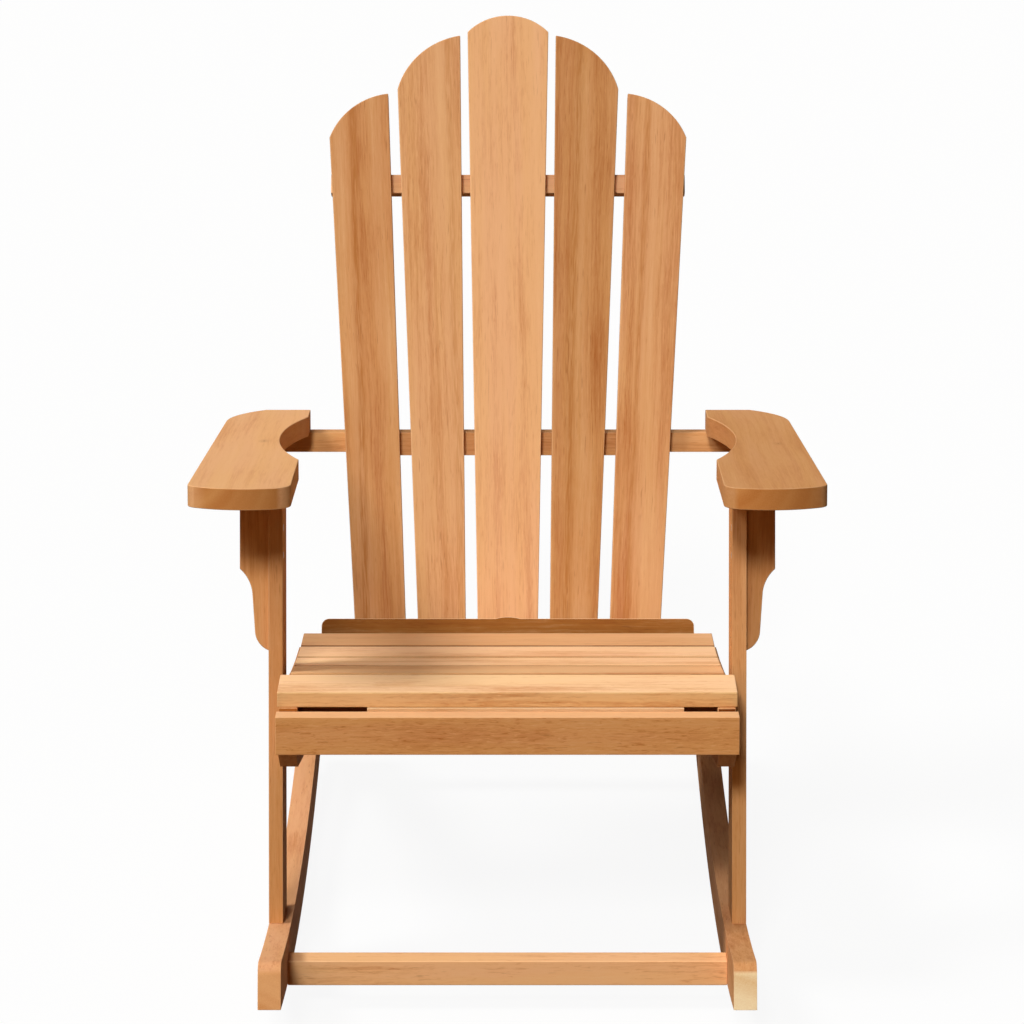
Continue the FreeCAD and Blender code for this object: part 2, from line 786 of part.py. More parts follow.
def make_stretcher_screws():
    y = front_stretcher_y + stretcher_depth / 2
    z = front_stretcher_z + stretcher_height / 2
    length = rocker_thick + long_screw_bite
    return [make_screw(Vector(side * outer_face, y + step, z), Vector(-side, 0, 0), length,
                       long_screw, long_screw_head)
            for side in (-1, 1) for step in (-stretcher_depth / 4, stretcher_depth / 4)]


def bolt_places():
    """Start, direction and grip of each bolt: two through each leg and two through each tail."""
    rail_y = leg_frame.Base.y + leg_width
    middle = (height_on(seat_bed, rail_y) + height_on(side_rail_lower, rail_y)) / 2
    depth = height_on(seat_bed, rail_y) - height_on(side_rail_lower, rail_y)
    places = []
    for z in (middle - depth / 4, middle + depth / 4):
        up = (z - leg_frame.Base.z) / math.cos(math.radians(leg_lean))
        place = in_leg(outer_face, leg_width / 2, up)
        places.append((place, leg_thick + side_rail_thick))
    for y in (side_rail_tail - tail_bolt_inset, side_rail_tail - tail_bolt_inset - tail_bolt_step):
        low = max(height_on(side_rail_lower, y), arc_height(rocker_radius, y))
        z = (low + arc_height(rocker_top_radius, y)) / 2
        places.append((Vector(outer_face, y, z), rocker_thick + side_rail_thick))
    return [(Vector(side * place.x, place.y, place.z), Vector(-side, 0, 0), grip)
            for side in (-1, 1) for place, grip in places]


def make_bolt_hole(start, direction, grip):
    """The stepped hole through both boards for a bolt and its sleeve."""
    end = start + direction * grip
    hole = Part.makeCylinder(bolt / 2, grip, start, direction)
    for mouth, inwards in ((start, direction), (end, -direction)):
        hole = hole.fuse(Part.makeCylinder(bolt_head / 2, bolt_head_deep, mouth, inwards))
    return hole.fuse(Part.makeCylinder(sleeve / 2, sleeve_length, end, -direction))


wood = {}
for name, side in (("left", -1), ("right", 1)):
    wood[name + "_rocker"] = make_rocker(side)
    wood[name + "_front_leg"] = make_front_leg(side)
    wood[name + "_side_rail"] = make_side_rail(side)
    wood[name + "_arm"] = make_arm(side)
    wood[name + "_arm_bracket"] = make_bracket(side)
    wood[name + "_inner_back_slat"] = mirrored_slat(
        side, inner_slat_edges, inner_slat_spread, inner_slat_tops, inner_slat_crown
    )
    wood[name + "_outer_back_slat"] = mirrored_slat(
        side, outer_slat_edges, outer_slat_spread, outer_slat_tops, outer_slat_crown
    )
for index in range(len(seat_tilts)):
    wood["seat_slat_%d" % (index + 1)] = make_seat_slat(index)
wood["middle_back_slat"] = make_middle_slat()
wood["apron"] = make_apron()
wood["front_cleat"] = make_front_cleat()
wood["seat_rail"] = make_seat_rail()
wood["lower_back_rail"] = make_lower_rail()
wood["upper_back_rail"] = make_upper_rail()
wood["arm_rail"] = make_arm_rail()
wood["front_stretcher"] = make_stretcher(front_stretcher_y, front_stretcher_z)
wood["rear_stretcher"] = between_side_rails(make_stretcher(rear_stretcher_y, rear_stretcher_z))

dowels = {
    "seat_dowels": make_seat_dowels(),
    "apron_dowels": make_apron_dowels(),
    "seat_rail_dowels": make_seat_rail_dowels(),
    "lower_rail_dowels": make_lower_rail_dowels(),
    "rear_stretcher_dowels": make_rear_stretcher_dowels(),
    "foot_dowels": make_foot_dowels(),
    "arm_dowels": make_arm_dowels(),
}
steel = {
    "slat_foot_screws": make_slat_foot_screws(),
    "upper_rail_screws": make_upper_rail_screws(),
    "arm_rail_screws": make_arm_rail_screws(),
    "arm_end_screws": make_arm_end_screws(),
    "bracket_screws": make_bracket_screws(),
    "cleat_screws": make_cleat_screws(),
    "stretcher_screws": make_stretcher_screws(),
    "frame_bolts": [make_bolt(*place) for place in bolt_places()],
    "sleeve_nuts": [make_sleeve(*place) for place in bolt_places()],
}

# Dowels and screws lie in holes of their own shape, and bolts with their sleeves in stepped ones
holes = [make_bolt_hole(*place) for place in bolt_places()]
for solids in [*dowels.values(), *steel.values()]:
    if solids not in (steel["frame_bolts"], steel["sleeve_nuts"]):
        holes += solids
for name, board in wood.items():
    cutters = [hole for hole in holes if hole.BoundBox.intersect(board.BoundBox)]
    wood[name] = board.cut(Part.Compound(cutters)) if cutters else board

parts = dict(wood)
for group in (dowels, steel):
    parts.update({name: Part.Compound(solids) for name, solids in group.items()})


def centre_of_mass():
    total, moment = 0.0, Vector()
    for name, shape in parts.items():
        density = steel_density if name in steel else wood_density
        for solid in shape.Solids:
            total += solid.Volume * density
            moment += solid.CenterOfMass * solid.Volume * density
    return moment / total


# The chair comes to rest with its centre of mass under the centre of the rockers
balance = centre_of_mass()
settled_tilt = math.degrees(math.atan2(balance.y, rocker_radius - balance.z))
settle = Placement(Vector(), Rotation(Vector(1, 0, 0), -settled_tilt), rocking_centre)
for name in parts:
    parts[name] = moved(parts[name], settle)

boxes = [shape.BoundBox for shape in parts.values()]
middle_y = (min(box.YMin for box in boxes) + max(box.YMax for box in boxes)) / 2
lowest = min(box.ZMin for box in boxes)
print("settled tilt %.3f degrees, then moved %.2f along Y" % (settled_tilt, -middle_y))
os.makedirs("parts", exist_ok=True)
for name in parts:
    parts[name].translate(Vector(0, -middle_y, -lowest))
    parts[name].exportStep("parts/%s.step" % name)
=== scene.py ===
# %% [markdown]
# A rocking garden chair, dressed for its picture
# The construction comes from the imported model: every board, dowel, screw and bolt at its real
# size, in metres, with X to the right, Y away from the viewer and Z up. Nothing is moved here.
# The boards get softened edges and an oiled hardwood finish, and the hardware gets its metal.

# %% Load the frame
import math

import bmesh
import bpy
import numpy as np
from mathutils import Matrix, Vector


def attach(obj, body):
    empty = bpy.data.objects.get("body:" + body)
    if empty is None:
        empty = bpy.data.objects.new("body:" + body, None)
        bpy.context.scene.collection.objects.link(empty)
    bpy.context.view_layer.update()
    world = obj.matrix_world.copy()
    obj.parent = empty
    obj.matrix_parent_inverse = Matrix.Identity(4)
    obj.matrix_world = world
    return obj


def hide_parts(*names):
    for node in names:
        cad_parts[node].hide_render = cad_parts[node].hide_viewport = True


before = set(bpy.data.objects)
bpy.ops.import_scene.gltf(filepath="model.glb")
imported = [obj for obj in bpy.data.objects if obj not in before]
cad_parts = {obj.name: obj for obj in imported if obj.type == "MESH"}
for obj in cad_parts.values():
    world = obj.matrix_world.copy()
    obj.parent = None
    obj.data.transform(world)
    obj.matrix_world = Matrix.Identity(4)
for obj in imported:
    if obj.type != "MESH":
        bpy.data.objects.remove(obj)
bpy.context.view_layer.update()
MM = 0.001


def in_scene(name, data):
    """A new object at the origin, linked into the scene."""
    thing = bpy.data.objects.new(name, data)
    bpy.context.scene.collection.objects.link(thing)
    return thing


# %% [markdown]
# The camera
# The photograph was taken from far off with a long lens. The chair is seen square from the front
# and from above the arms. The focal length is in pixels of a square picture 1024 pixels wide, and
# the shift moves the middle of the view to where the photograph has it.

# %% Camera
PICTURE_SIDE = 1024
FOCAL_PIXELS = 4188
CAMERA_PLACE = (0.005, -4.6990, 1.7251)
CAMERA_PITCH = 13.690
PRINCIPAL_ROW = 420

camera_data = bpy.data.cameras.new("front_camera")
camera = in_scene("front_camera", camera_data)
camera.location = CAMERA_PLACE
camera.rotation_euler = (math.radians(90 - CAMERA_PITCH), 0, 0)
camera_data.sensor_width = 36
camera_data.lens = camera_data.sensor_width * FOCAL_PIXELS / PICTURE_SIDE
camera_data.shift_y = (PRINCIPAL_ROW - PICTURE_SIDE / 2) / PICTURE_SIDE
camera_data.clip_end = 100
bpy.context.scene.camera = camera
bpy.context.scene.view_settings.view_transform = "Standard"
print("lens: %.1f mm" % camera_data.lens)

# %% [markdown]
# Helpers for node trees
# Colours are written as sRGB hex values, the way a picture editor shows them, and one function
# turns them to the linear numbers that a shader works with. Another adds one node to a tree: its
# settings, the values of its sockets, and the sockets that are linked into it. Three more are
# short forms for arithmetic, for mixed colours and for ramps, and the last starts a material.

# %% Colour and node helpers
def linear(hex_colour):
    """The linear RGBA of an sRGB hex colour."""
    channels = [int(hex_colour[k:k + 2], 16) / 255 for k in (1, 3, 5)]
    return (*(c / 12.92 if c <= 0.04045 else ((c + 0.055) / 1.055) ** 2.4 for c in channels), 1.0)


def add(tree, kind, settings=None, **sockets):
    """A node of that kind. A socket is named in lower case, with _ for a space, or _0, _1 by place."""
    node = tree.nodes.new(kind)
    for name, value in (settings or {}).items():
        setattr(node, name, value)
    for name, value in sockets.items():
        if name[1:].isdigit():
            socket = node.inputs[int(name[1:])]
        else:
            wanted = name.replace("_", " ")
            socket = next(s for s in node.inputs if s.name.lower() == wanted and s.enabled)
        if isinstance(value, bpy.types.NodeSocket):
            tree.links.new(value, socket)
        else:
            socket.default_value = value
    return node


def calculate(tree, operation, *values):
    """The output of one arithmetic node."""
    places = {"_%d" % k: value for k, value in enumerate(values)}
    return add(tree, "ShaderNodeMath", {"operation": operation}, **places).outputs[0]


def blend(tree, factor, a, b, mode="MIX"):
    """The colour between a and b."""
    settings = {"data_type": "RGBA", "blend_type": mode}
    return add(tree, "ShaderNodeMix", settings, _0=factor, _6=a, _7=b).outputs[2]


def ramp(tree, value, low, high, to_low=0.0, to_high=1.0, smooth=False):
    """The value taken from low..high to to_low..to_high, and held at its ends."""
    settings = {"clamp": True}
    if smooth:
        settings["interpolation_type"] = "SMOOTHSTEP"
    node = add(tree, "ShaderNodeMapRange", settings, _0=value, _1=low, _2=high, _3=to_low, _4=to_high)
    return node.outputs[0]


def fresh_material(name):
    """A new material and its node tree, which is empty."""
    material = bpy.data.materials.new(name)
    material.use_nodes = True
    material.node_tree.nodes.clear()
    return material, material.node_tree


# %% [markdown]
# The room
# A pale floor without a horizon. The camera and glossy surfaces see it as white, but it keeps a
# part of its own shading, so the chair still casts a shadow. What it throws back on the wood is
# that of a darker floor, which keeps the undersides as deep as they are in the photograph.

# %% Floor and world
FLOOR_HALF = 15.0
FLOOR_COLOUR = "#e9e9e7"
FLOOR_SEEN_BY_WOOD = "#523a1c"
FLOOR_WHITENESS = 0.92
WORLD_LIGHT = 0.03
WORLD_TINT = "#ffdcb0"

floor_mesh = bpy.data.meshes.new("floor")
corners = [(x * FLOOR_HALF, y * FLOOR_HALF, 0) for x, y in ((-1, -1), (1, -1), (1, 1), (-1, 1))]
floor_mesh.from_pydata(corners, [], [(0, 1, 2, 3)])
floor = in_scene("floor", floor_mesh)


def direct_view(tree):
    """1 for what the camera, a reflection or a pane of glass sees, 0 for scattered light."""
    path = add(tree, "ShaderNodeLightPath")
    seen = calculate(tree, "MAXIMUM", path.outputs["Is Camera Ray"], path.outputs["Is Glossy Ray"])
    return calculate(tree, "MAXIMUM", seen, path.outputs["Is Transmission Ray"])


def pale_floor():
    """Nearly white to the camera, with a little of its own shading, and dark to scattered light."""
    material, tree = fresh_material("matt_white_studio_floor")
    shaded = add(tree, "ShaderNodeBsdfDiffuse", color=linear(FLOOR_COLOUR))
    white = add(tree, "ShaderNodeEmission", color=(1, 1, 1, 1), strength=1.0)
    seen = add(tree, "ShaderNodeMixShader", fac=FLOOR_WHITENESS, _1=shaded.outputs[0], _2=white.outputs[0])
    darker = add(tree, "ShaderNodeBsdfDiffuse", color=linear(FLOOR_SEEN_BY_WOOD))
    either = add(tree, "ShaderNodeMixShader", fac=direct_view(tree), _1=darker.outputs[0], _2=seen.outputs[0])
    add(tree, "ShaderNodeOutputMaterial", surface=either.outputs[0])
    return material


floor_mesh.materials.append(pale_floor())

world = bpy.data.worlds.new("studio")
world.use_nodes = True
bpy.context.scene.world = world
sky = world.node_tree
sky.nodes.clear()
dim = add(sky, "ShaderNodeBackground", color=linear(WORLD_TINT), strength=WORLD_LIGHT)
bright = add(sky, "ShaderNodeBackground", color=(1, 1, 1, 1), strength=1.0)
both = add(sky, "ShaderNodeMixShader", fac=direct_view(sky), _1=dim.outputs[0], _2=bright.outputs[0])
add(sky, "ShaderNodeOutputWorld", surface=both.outputs[0])
print("floor: %.0f m square" % (2 * FLOOR_HALF))

# %% [markdown]
# The light
# In the photograph the faces that look to the right are almost black, the tops are brightest and
# the arms throw a short soft shadow on the legs. So the main light stands in front, a little to
# the left and 40 degrees up. One as strong stands at the left, and lays the left arm's shadow on
# the seat. A weak warm one low in front keeps the shadows brown, and a weak one behind keeps the
# back readable. A sun lamp of strength pi shows a face square to it at the colour that its
# material is written in.

# %% Lamps
def lamp(name, azimuth, elevation, share, spread, tint="#ffffff"):
    """A soft distant lamp from azimuth degrees left of the viewer. share 1 lights a face as it is written."""
    data = bpy.data.lights.new(name, "SUN")
    data.energy = share * math.pi
    data.angle = math.radians(spread)
    data.color = linear(tint)[:3]
    light = in_scene(name, data)
    around, above = math.radians(azimuth), math.radians(elevation)
    towards = Vector((-math.sin(around) * math.cos(above), -math.cos(around) * math.cos(above),
                      math.sin(above)))
    light.rotation_euler = towards.to_track_quat("Z", "Y").to_euler()
    return light


lamps = [
    lamp("key_light", azimuth=10, elevation=40, share=0.59, spread=12),
    lamp("side_light", azimuth=80, elevation=51, share=0.64, spread=18),
    lamp("front_fill", azimuth=20, elevation=12, share=0.10, spread=30, tint="#ffd09a"),
    lamp("back_light", azimuth=160, elevation=30, share=0.20, spread=40),
]
print("lamps:", [light.name for light in lamps])

# %% [markdown]
# How a board lies
# Wood looks right only when its grain runs along the board. Each board's own directions are read
# from its triangles: the covariance of their places, weighted by area, has the length, the width
# and the thickness as its axes. The finish is then laid out in that frame.

# %% The frame of a board
def triangles(node):
    """The corners of a node's triangles, as an array of n x 3 x 3."""
    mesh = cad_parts[node].data
    mesh.calc_loop_triangles()
    places = np.array([vertex.co[:] for vertex in mesh.vertices])
    return places[np.array([triangle.vertices[:] for triangle in mesh.loop_triangles])]


def board_frame(node):
    """Centre and rotation of a board: X along the grain, Y over its width, Z through it."""
    tris = triangles(node)
    areas = np.linalg.norm(np.cross(tris[:, 1] - tris[:, 0], tris[:, 2] - tris[:, 0]), axis=1)
    middles = tris.mean(axis=1)
    centre = np.average(middles, axis=0, weights=areas)
    spread = np.zeros((3, 3))
    for corner in range(3):
        offsets = tris[:, corner] - centre
        spread += (offsets * areas[:, None]).T @ offsets
    _, axes = np.linalg.eigh(spread)
    grain, width = axes[:, 2], axes[:, 1]
    grain = grain * np.sign(grain[np.argmax(abs(grain))])
    width = width * np.sign(width[np.argmax(abs(width))])
    through = np.cross(grain, width)
    return Vector(centre), Matrix(np.array([grain, width, through]).T.tolist())


for name in ("left_front_leg", "middle_back_slat", "left_rocker"):
    centre, turn = board_frame(name)
    print(name, "grain along", [round(v, 2) for v in turn.col[0]])

# %% [markdown]
# Oiled hardwood
# The chair is made of a light tropical hardwood, planed and oiled. The eye sees broad bands in it
# where the saw cut through the year rings, fine fibres one to two millimetres wide, short dark
# pores along them, small flecks, and on seats and aprons a rippled figure. Some boards have a
# heart streak that is broken into dashes; on the front stretcher that streak is painted shade along
# its top edge. Each arm has one pin knot. Sawn ends have a tone of their own, which on some boards
# carries painted light and painted shade. Some faces that look up are painted paler, as painted
# light, and the eased edges are painted paler, partly as the rub of hands and partly as a painted
# highlight. One node group makes them all from a place in the board's own frame, so one wood
# serves every board, and each board sets its own tone and how much of each it shows.

# %% The wood's node group
RING_PITCH = 24 * MM
STREAK_WIDTH = 4.5 * MM
STREAK_LENGTH = 240 * MM
FIBRE_WIDTH = 1.5 * MM
FIBRE_LENGTH = 34 * MM
PORE_WIDTH = 1.8 * MM
PORE_LENGTH = 24 * MM
RIPPLE_LENGTH = 38 * MM
FLECK_LENGTH = 15 * MM
FLECK_WIDTH = 1.9 * MM
KNOT_RADIUS = 1.8 * MM
DASH_LENGTH = 30 * MM
PITH_OFFSET = 60 * MM
DRIFT = 12 * MM
DRIFT_LENGTH = 300 * MM
DRIFT_WIDTH = 80 * MM
BLUSH_LENGTH = 350 * MM
BLUSH_WIDTH = 22 * MM
CROWD_LENGTH = 110 * MM
CROWD_WIDTH = 30 * MM
CLOUD_LENGTH = 160 * MM
CLOUD_WIDTH = 50 * MM
SAW_GRIT = 1.4 * MM
FIBRE_CONTRAST = 0.20
ROSY = (1.0, 0.99, 1.07, 1.0)
DEEP_GRAIN = "#d2aa86"
PALE_GRAIN = "#ffd9a8"
HEART_STREAK_AND_SHADE = "#dac09a"
PORE_STAIN = "#a8764a"
KNOT_BROWN = "#9a6434"
END_STAIN = "#e6cdb4"
PAINTED_TOP_LIGHT_COLOUR = "#ffd0a0"
RUBBED_AND_HIGHLIGHT = "#ffd8ab"


def stretched(tree, place, along, across):
    """The place measured in units of along and across, for a pattern drawn out with the grain."""
    sizes = (1 / along, 1 / across, 1 / across)
    return add(tree, "ShaderNodeVectorMath", {"operation": "MULTIPLY"}, _0=place, _1=sizes).outputs[0]


def noise(tree, place, scale, detail, roughness=0.5, distortion=0.0):
    """A cloudy pattern from 0 to 1 that averages one half."""
    return add(tree, "ShaderNodeTexNoise", vector=place, scale=scale, detail=detail,
               roughness=roughness, distortion=distortion).outputs["Fac"]


def hardwood_group():
    """Colour, roughness and height of the wood at a place in a board's own frame."""
    tree = bpy.data.node_groups.new("planed_oiled_hardwood", "ShaderNodeTree")
    for name, kind in (("Place", "Vector"), ("Grain", "Vector"), ("Tone", "Color"), ("Seed", "Float"),
                       ("Ripple", "Float"), ("Pores", "Float"), ("Bands", "Float"), ("Flecks", "Float"),
                       ("Knot", "Vector"), ("Heart Place", "Float"), ("Heart Slope", "Float"),
                       ("Heart Width", "Float"), ("Heart", "Float"), ("Ends", "Color"),
                       ("Sun", "Float"), ("Wear", "Float")):
        tree.interface.new_socket(name, in_out="INPUT", socket_type="NodeSocket" + kind)
    for name, kind in (("Colour", "Color"), ("Roughness", "Float"), ("Height", "Float")):
        tree.interface.new_socket(name, in_out="OUTPUT", socket_type="NodeSocket" + kind)
    given = add(tree, "NodeGroupInput").outputs

    # Every board is cut from another place in the tree
    shift = add(tree, "ShaderNodeCombineXYZ", x=given["Seed"], y=0.0, z=0.0).outputs[0]
    place = add(tree, "ShaderNodeVectorMath", _0=given["Place"], _1=shift).outputs[0]

    # The grain wanders a few millimetres, and ripples where the figure is strong
    drift = noise(tree, stretched(tree, place, DRIFT_LENGTH, DRIFT_WIDTH), 1.0, 2)
    drift = calculate(tree, "MULTIPLY", calculate(tree, "SUBTRACT", drift, 0.5), DRIFT)
    wave = noise(tree, stretched(tree, place, RIPPLE_LENGTH, RIPPLE_LENGTH * 0.5), 1.0, 3, 0.55)
    wave = calculate(tree, "MULTIPLY", calculate(tree, "SUBTRACT", wave, 0.5), given["Ripple"])
    bend = calculate(tree, "ADD", drift, wave)
    wander = add(tree, "ShaderNodeCombineXYZ", x=0.0, y=bend, z=bend).outputs[0]
    grain_place = add(tree, "ShaderNodeVectorMath", _0=place, _1=wander).outputs[0]

    # Year rings round a heart that lies beside the board
    axes = add(tree, "ShaderNodeSeparateXYZ", vector=grain_place).outputs
    beside = calculate(tree, "ADD", axes["Y"], PITH_OFFSET)
    below = calculate(tree, "ADD", axes["Z"], PITH_OFFSET * 0.6)
    squares = calculate(tree, "ADD", calculate(tree, "POWER", beside, 2.0),
                        calculate(tree, "POWER", below, 2.0))
    radius = calculate(tree, "SQRT", squares)
    radius = calculate(tree, "ADD", radius, calculate(tree, "MULTIPLY", axes["X"], 0.02))
    rings = add(tree, "ShaderNodeTexNoise", {"noise_dimensions": "1D"}, w=radius, scale=1 / RING_PITCH,
                detail=1.5, roughness=0.5).outputs["Fac"]

    # Fibres, streaks, flecks and pores, which crowd together in places
    fibres = noise(tree, stretched(tree, grain_place, FIBRE_LENGTH, FIBRE_WIDTH), 1.0, 3, 0.6)
    streaks = noise(tree, stretched(tree, grain_place, STREAK_LENGTH, STREAK_WIDTH), 1.0, 2)
    blush = noise(tree, stretched(tree, grain_place, BLUSH_LENGTH, BLUSH_WIDTH), 1.0, 1)
    specks = noise(tree, stretched(tree, grain_place, PORE_LENGTH, PORE_WIDTH), 1.0, 1)
    flecks = noise(tree, stretched(tree, grain_place, FLECK_LENGTH, FLECK_WIDTH), 1.0, 2, 0.55, 0.4)
    crowd = noise(tree, stretched(tree, place, CROWD_LENGTH, CROWD_WIDTH), 1.0, 2)
    threshold = ramp(tree, crowd, 0.35, 0.65, 0.74, 0.62)
    pores = ramp(tree, calculate(tree, "SUBTRACT", specks, threshold), 0.0, 0.10)
    pores = calculate(tree, "MULTIPLY", pores, given["Pores"])

    # A heart streak runs the length of some boards, in dashes. On the front stretcher it is painted shade
    # along the top edge
    board = add(tree, "ShaderNodeSeparateXYZ", vector=given["Place"]).outputs
    line = calculate(tree, "MULTIPLY_ADD", board["X"], given["Heart Slope"], given["Heart Place"])
    across = calculate(tree, "ADD", board["Y"], drift)
    off = calculate(tree, "ABSOLUTE", calculate(tree, "SUBTRACT", across, line))
    near = calculate(tree, "SUBTRACT", 1.0, calculate(tree, "DIVIDE", off, given["Heart Width"]))
    heart = calculate(tree, "MULTIPLY", ramp(tree, near, 0.0, 1.0, smooth=True), given["Heart"])
    dashes = noise(tree, stretched(tree, grain_place, DASH_LENGTH, PORE_WIDTH), 1.0, 2)
    heart = calculate(tree, "MULTIPLY", heart, ramp(tree, dashes, 0.35, 0.60, 0.35, 1.30))

    # Light and dark about the tone, and a blush of rose in places
    def share(pattern, weight):
        """What a pattern adds to the level, which is 0 at the tone itself."""
        return calculate(tree, "MULTIPLY", calculate(tree, "SUBTRACT", pattern, 0.5), weight)

    fibre_weight = calculate(tree, "MULTIPLY_ADD", given["Pores"], 0.40, FIBRE_CONTRAST)
    clouds = noise(tree, stretched(tree, place, CLOUD_LENGTH, CLOUD_WIDTH), 1.0, 1)
    dark_flecks = ramp(tree, flecks, 0.57, 0.72)
    pale_flecks = ramp(tree, flecks, 0.43, 0.28)
    level = calculate(tree, "ADD", share(rings, given["Bands"]), share(fibres, fibre_weight))
    level = calculate(tree, "ADD", level, share(streaks, given["Bands"]))
    level = calculate(tree, "ADD", level, share(clouds, given["Bands"]))
    marks = calculate(tree, "SUBTRACT", pale_flecks, dark_flecks)
    level = calculate(tree, "MULTIPLY_ADD", marks, given["Flecks"], level)
    rosy = blend(tree, 1.0, given["Tone"], ROSY, "MULTIPLY")
    rosy = blend(tree, ramp(tree, blush, 0.38, 0.62), given["Tone"], rosy)
    deep = blend(tree, 1.0, rosy, linear(DEEP_GRAIN), "MULTIPLY")
    pale = blend(tree, 0.22, rosy, linear(PALE_GRAIN))
    colour = blend(tree, ramp(tree, level, -0.30, 0.0), deep, rosy)
    colour = blend(tree, ramp(tree, level, 0.0, 0.30), colour, pale)
    # The heart streak's stain is real on the back slats and painted shade on the front stretcher
    for mask, dye in ((heart, HEART_STREAK_AND_SHADE), (pores, PORE_STAIN)):
        colour = blend(tree, mask, colour, blend(tree, 1.0, given["Tone"], linear(dye), "MULTIPLY"))

    # A pin knot, a brown dot in a stained patch that runs out along the grain
    flat = add(tree, "ShaderNodeCombineXYZ", x=board["X"], y=board["Y"], z=0.0).outputs[0]
    away = add(tree, "ShaderNodeVectorMath", {"operation": "SUBTRACT"}, _0=flat, _1=given["Knot"]).outputs[0]
    away = add(tree, "ShaderNodeVectorMath", {"operation": "MULTIPLY"}, _0=away, _1=(0.5, 1, 1)).outputs[0]
    reach = add(tree, "ShaderNodeVectorMath", {"operation": "LENGTH"}, _0=away).outputs["Value"]
    dot = ramp(tree, reach, KNOT_RADIUS * 0.4, KNOT_RADIUS, 0.75, 0.0, smooth=True)
    stain = ramp(tree, reach, KNOT_RADIUS, KNOT_RADIUS * 5.0, 0.22, 0.0, smooth=True)
    colour = blend(tree, calculate(tree, "MAXIMUM", dot, stain), colour, linear(KNOT_BROWN))

    # Sawn ends drink more oil and show the rings as arcs. The end tone a board gives is painted light on the
    # rockers and painted shade on the side rails
    normal = add(tree, "ShaderNodeTexCoord").outputs["Normal"]
    facing = add(tree, "ShaderNodeVectorMath", {"operation": "DOT_PRODUCT"}, _0=normal,
                 _1=given["Grain"]).outputs["Value"]
    end = ramp(tree, calculate(tree, "ABSOLUTE", facing), 0.80, 0.92)
    grit = noise(tree, place, 1 / SAW_GRIT, 2, 0.7)
    end_level = calculate(tree, "MULTIPLY_ADD", rings, 0.7, calculate(tree, "MULTIPLY", grit, 0.3))
    end_dark = blend(tree, 1.0, given["Ends"], linear(END_STAIN), "MULTIPLY")
    end_colour = blend(tree, ramp(tree, end_level, 0.3, 0.7), end_dark, given["Ends"])
    colour = blend(tree, end, colour, end_colour)

    # Painted light: the faces that look up are painted paler, as if lit from above
    upward = ramp(tree, add(tree, "ShaderNodeSeparateXYZ", vector=normal).outputs["Z"], 0.80, 0.95)
    colour = blend(tree, calculate(tree, "MULTIPLY", upward, given["Sun"]), colour, linear(PAINTED_TOP_LIGHT_COLOUR))

    # Eased edges are painted a little paler, partly as the rub of hands and partly as a painted highlight
    worn_and_highlit = add(tree, "ShaderNodeAttribute", {"attribute_name": "eased"}).outputs["Fac"]
    worn_and_highlit = calculate(tree, "MULTIPLY", worn_and_highlit, ramp(tree, crowd, 0.35, 0.65, 0.20, 0.60))
    worn_and_highlit = calculate(tree, "MULTIPLY", worn_and_highlit, given["Wear"])
    rubbed_and_highlit = calculate(tree, "MULTIPLY", given["Wear"], 0.35)
    colour = blend(tree, worn_and_highlit, colour, blend(tree, rubbed_and_highlit, given["Tone"], linear(RUBBED_AND_HIGHLIGHT)))

    # The open fibres are the rougher ones, and the pores lie lower
    rough = calculate(tree, "MULTIPLY_ADD", fibres, 0.16, 0.72)
    rough = calculate(tree, "MULTIPLY_ADD", end, 0.12, rough)
    height = calculate(tree, "SUBTRACT", calculate(tree, "MULTIPLY", fibres, 0.6), pores)
    add(tree, "NodeGroupOutput", colour=colour, roughness=rough, height=height)
    return tree


hardwood = hardwood_group()
print("wood nodes:", len(hardwood.nodes))

# %% [markdown]
# One finish per board
# The group wants a place in the board's own frame, which a Mapping node gives from the object's
# coordinates. Oiled wood has an index of about 1.5 but a soft, low gloss, because the pores
# stay open.

# %% A board's finish
OILED_GLOSS = 0.08
NO_KNOT = (9999, 0)
NO_HEART = (0.0, 0.0, 10, 0.0)


def oiled_surface(tree, wood):
    """Ends a material's tree in the surface of the wood that the group's outputs describe."""
    bump = add(tree, "ShaderNodeBump", strength=0.5, distance=0.25 * MM, height=wood["Height"])
    shader = add(tree, "ShaderNodeBsdfPrincipled", base_color=wood["Colour"], roughness=wood["Roughness"],
                 normal=bump.outputs[0], ior=1.5, specular_ior_level=OILED_GLOSS)
    add(tree, "ShaderNodeOutputMaterial", surface=shader.outputs[0])


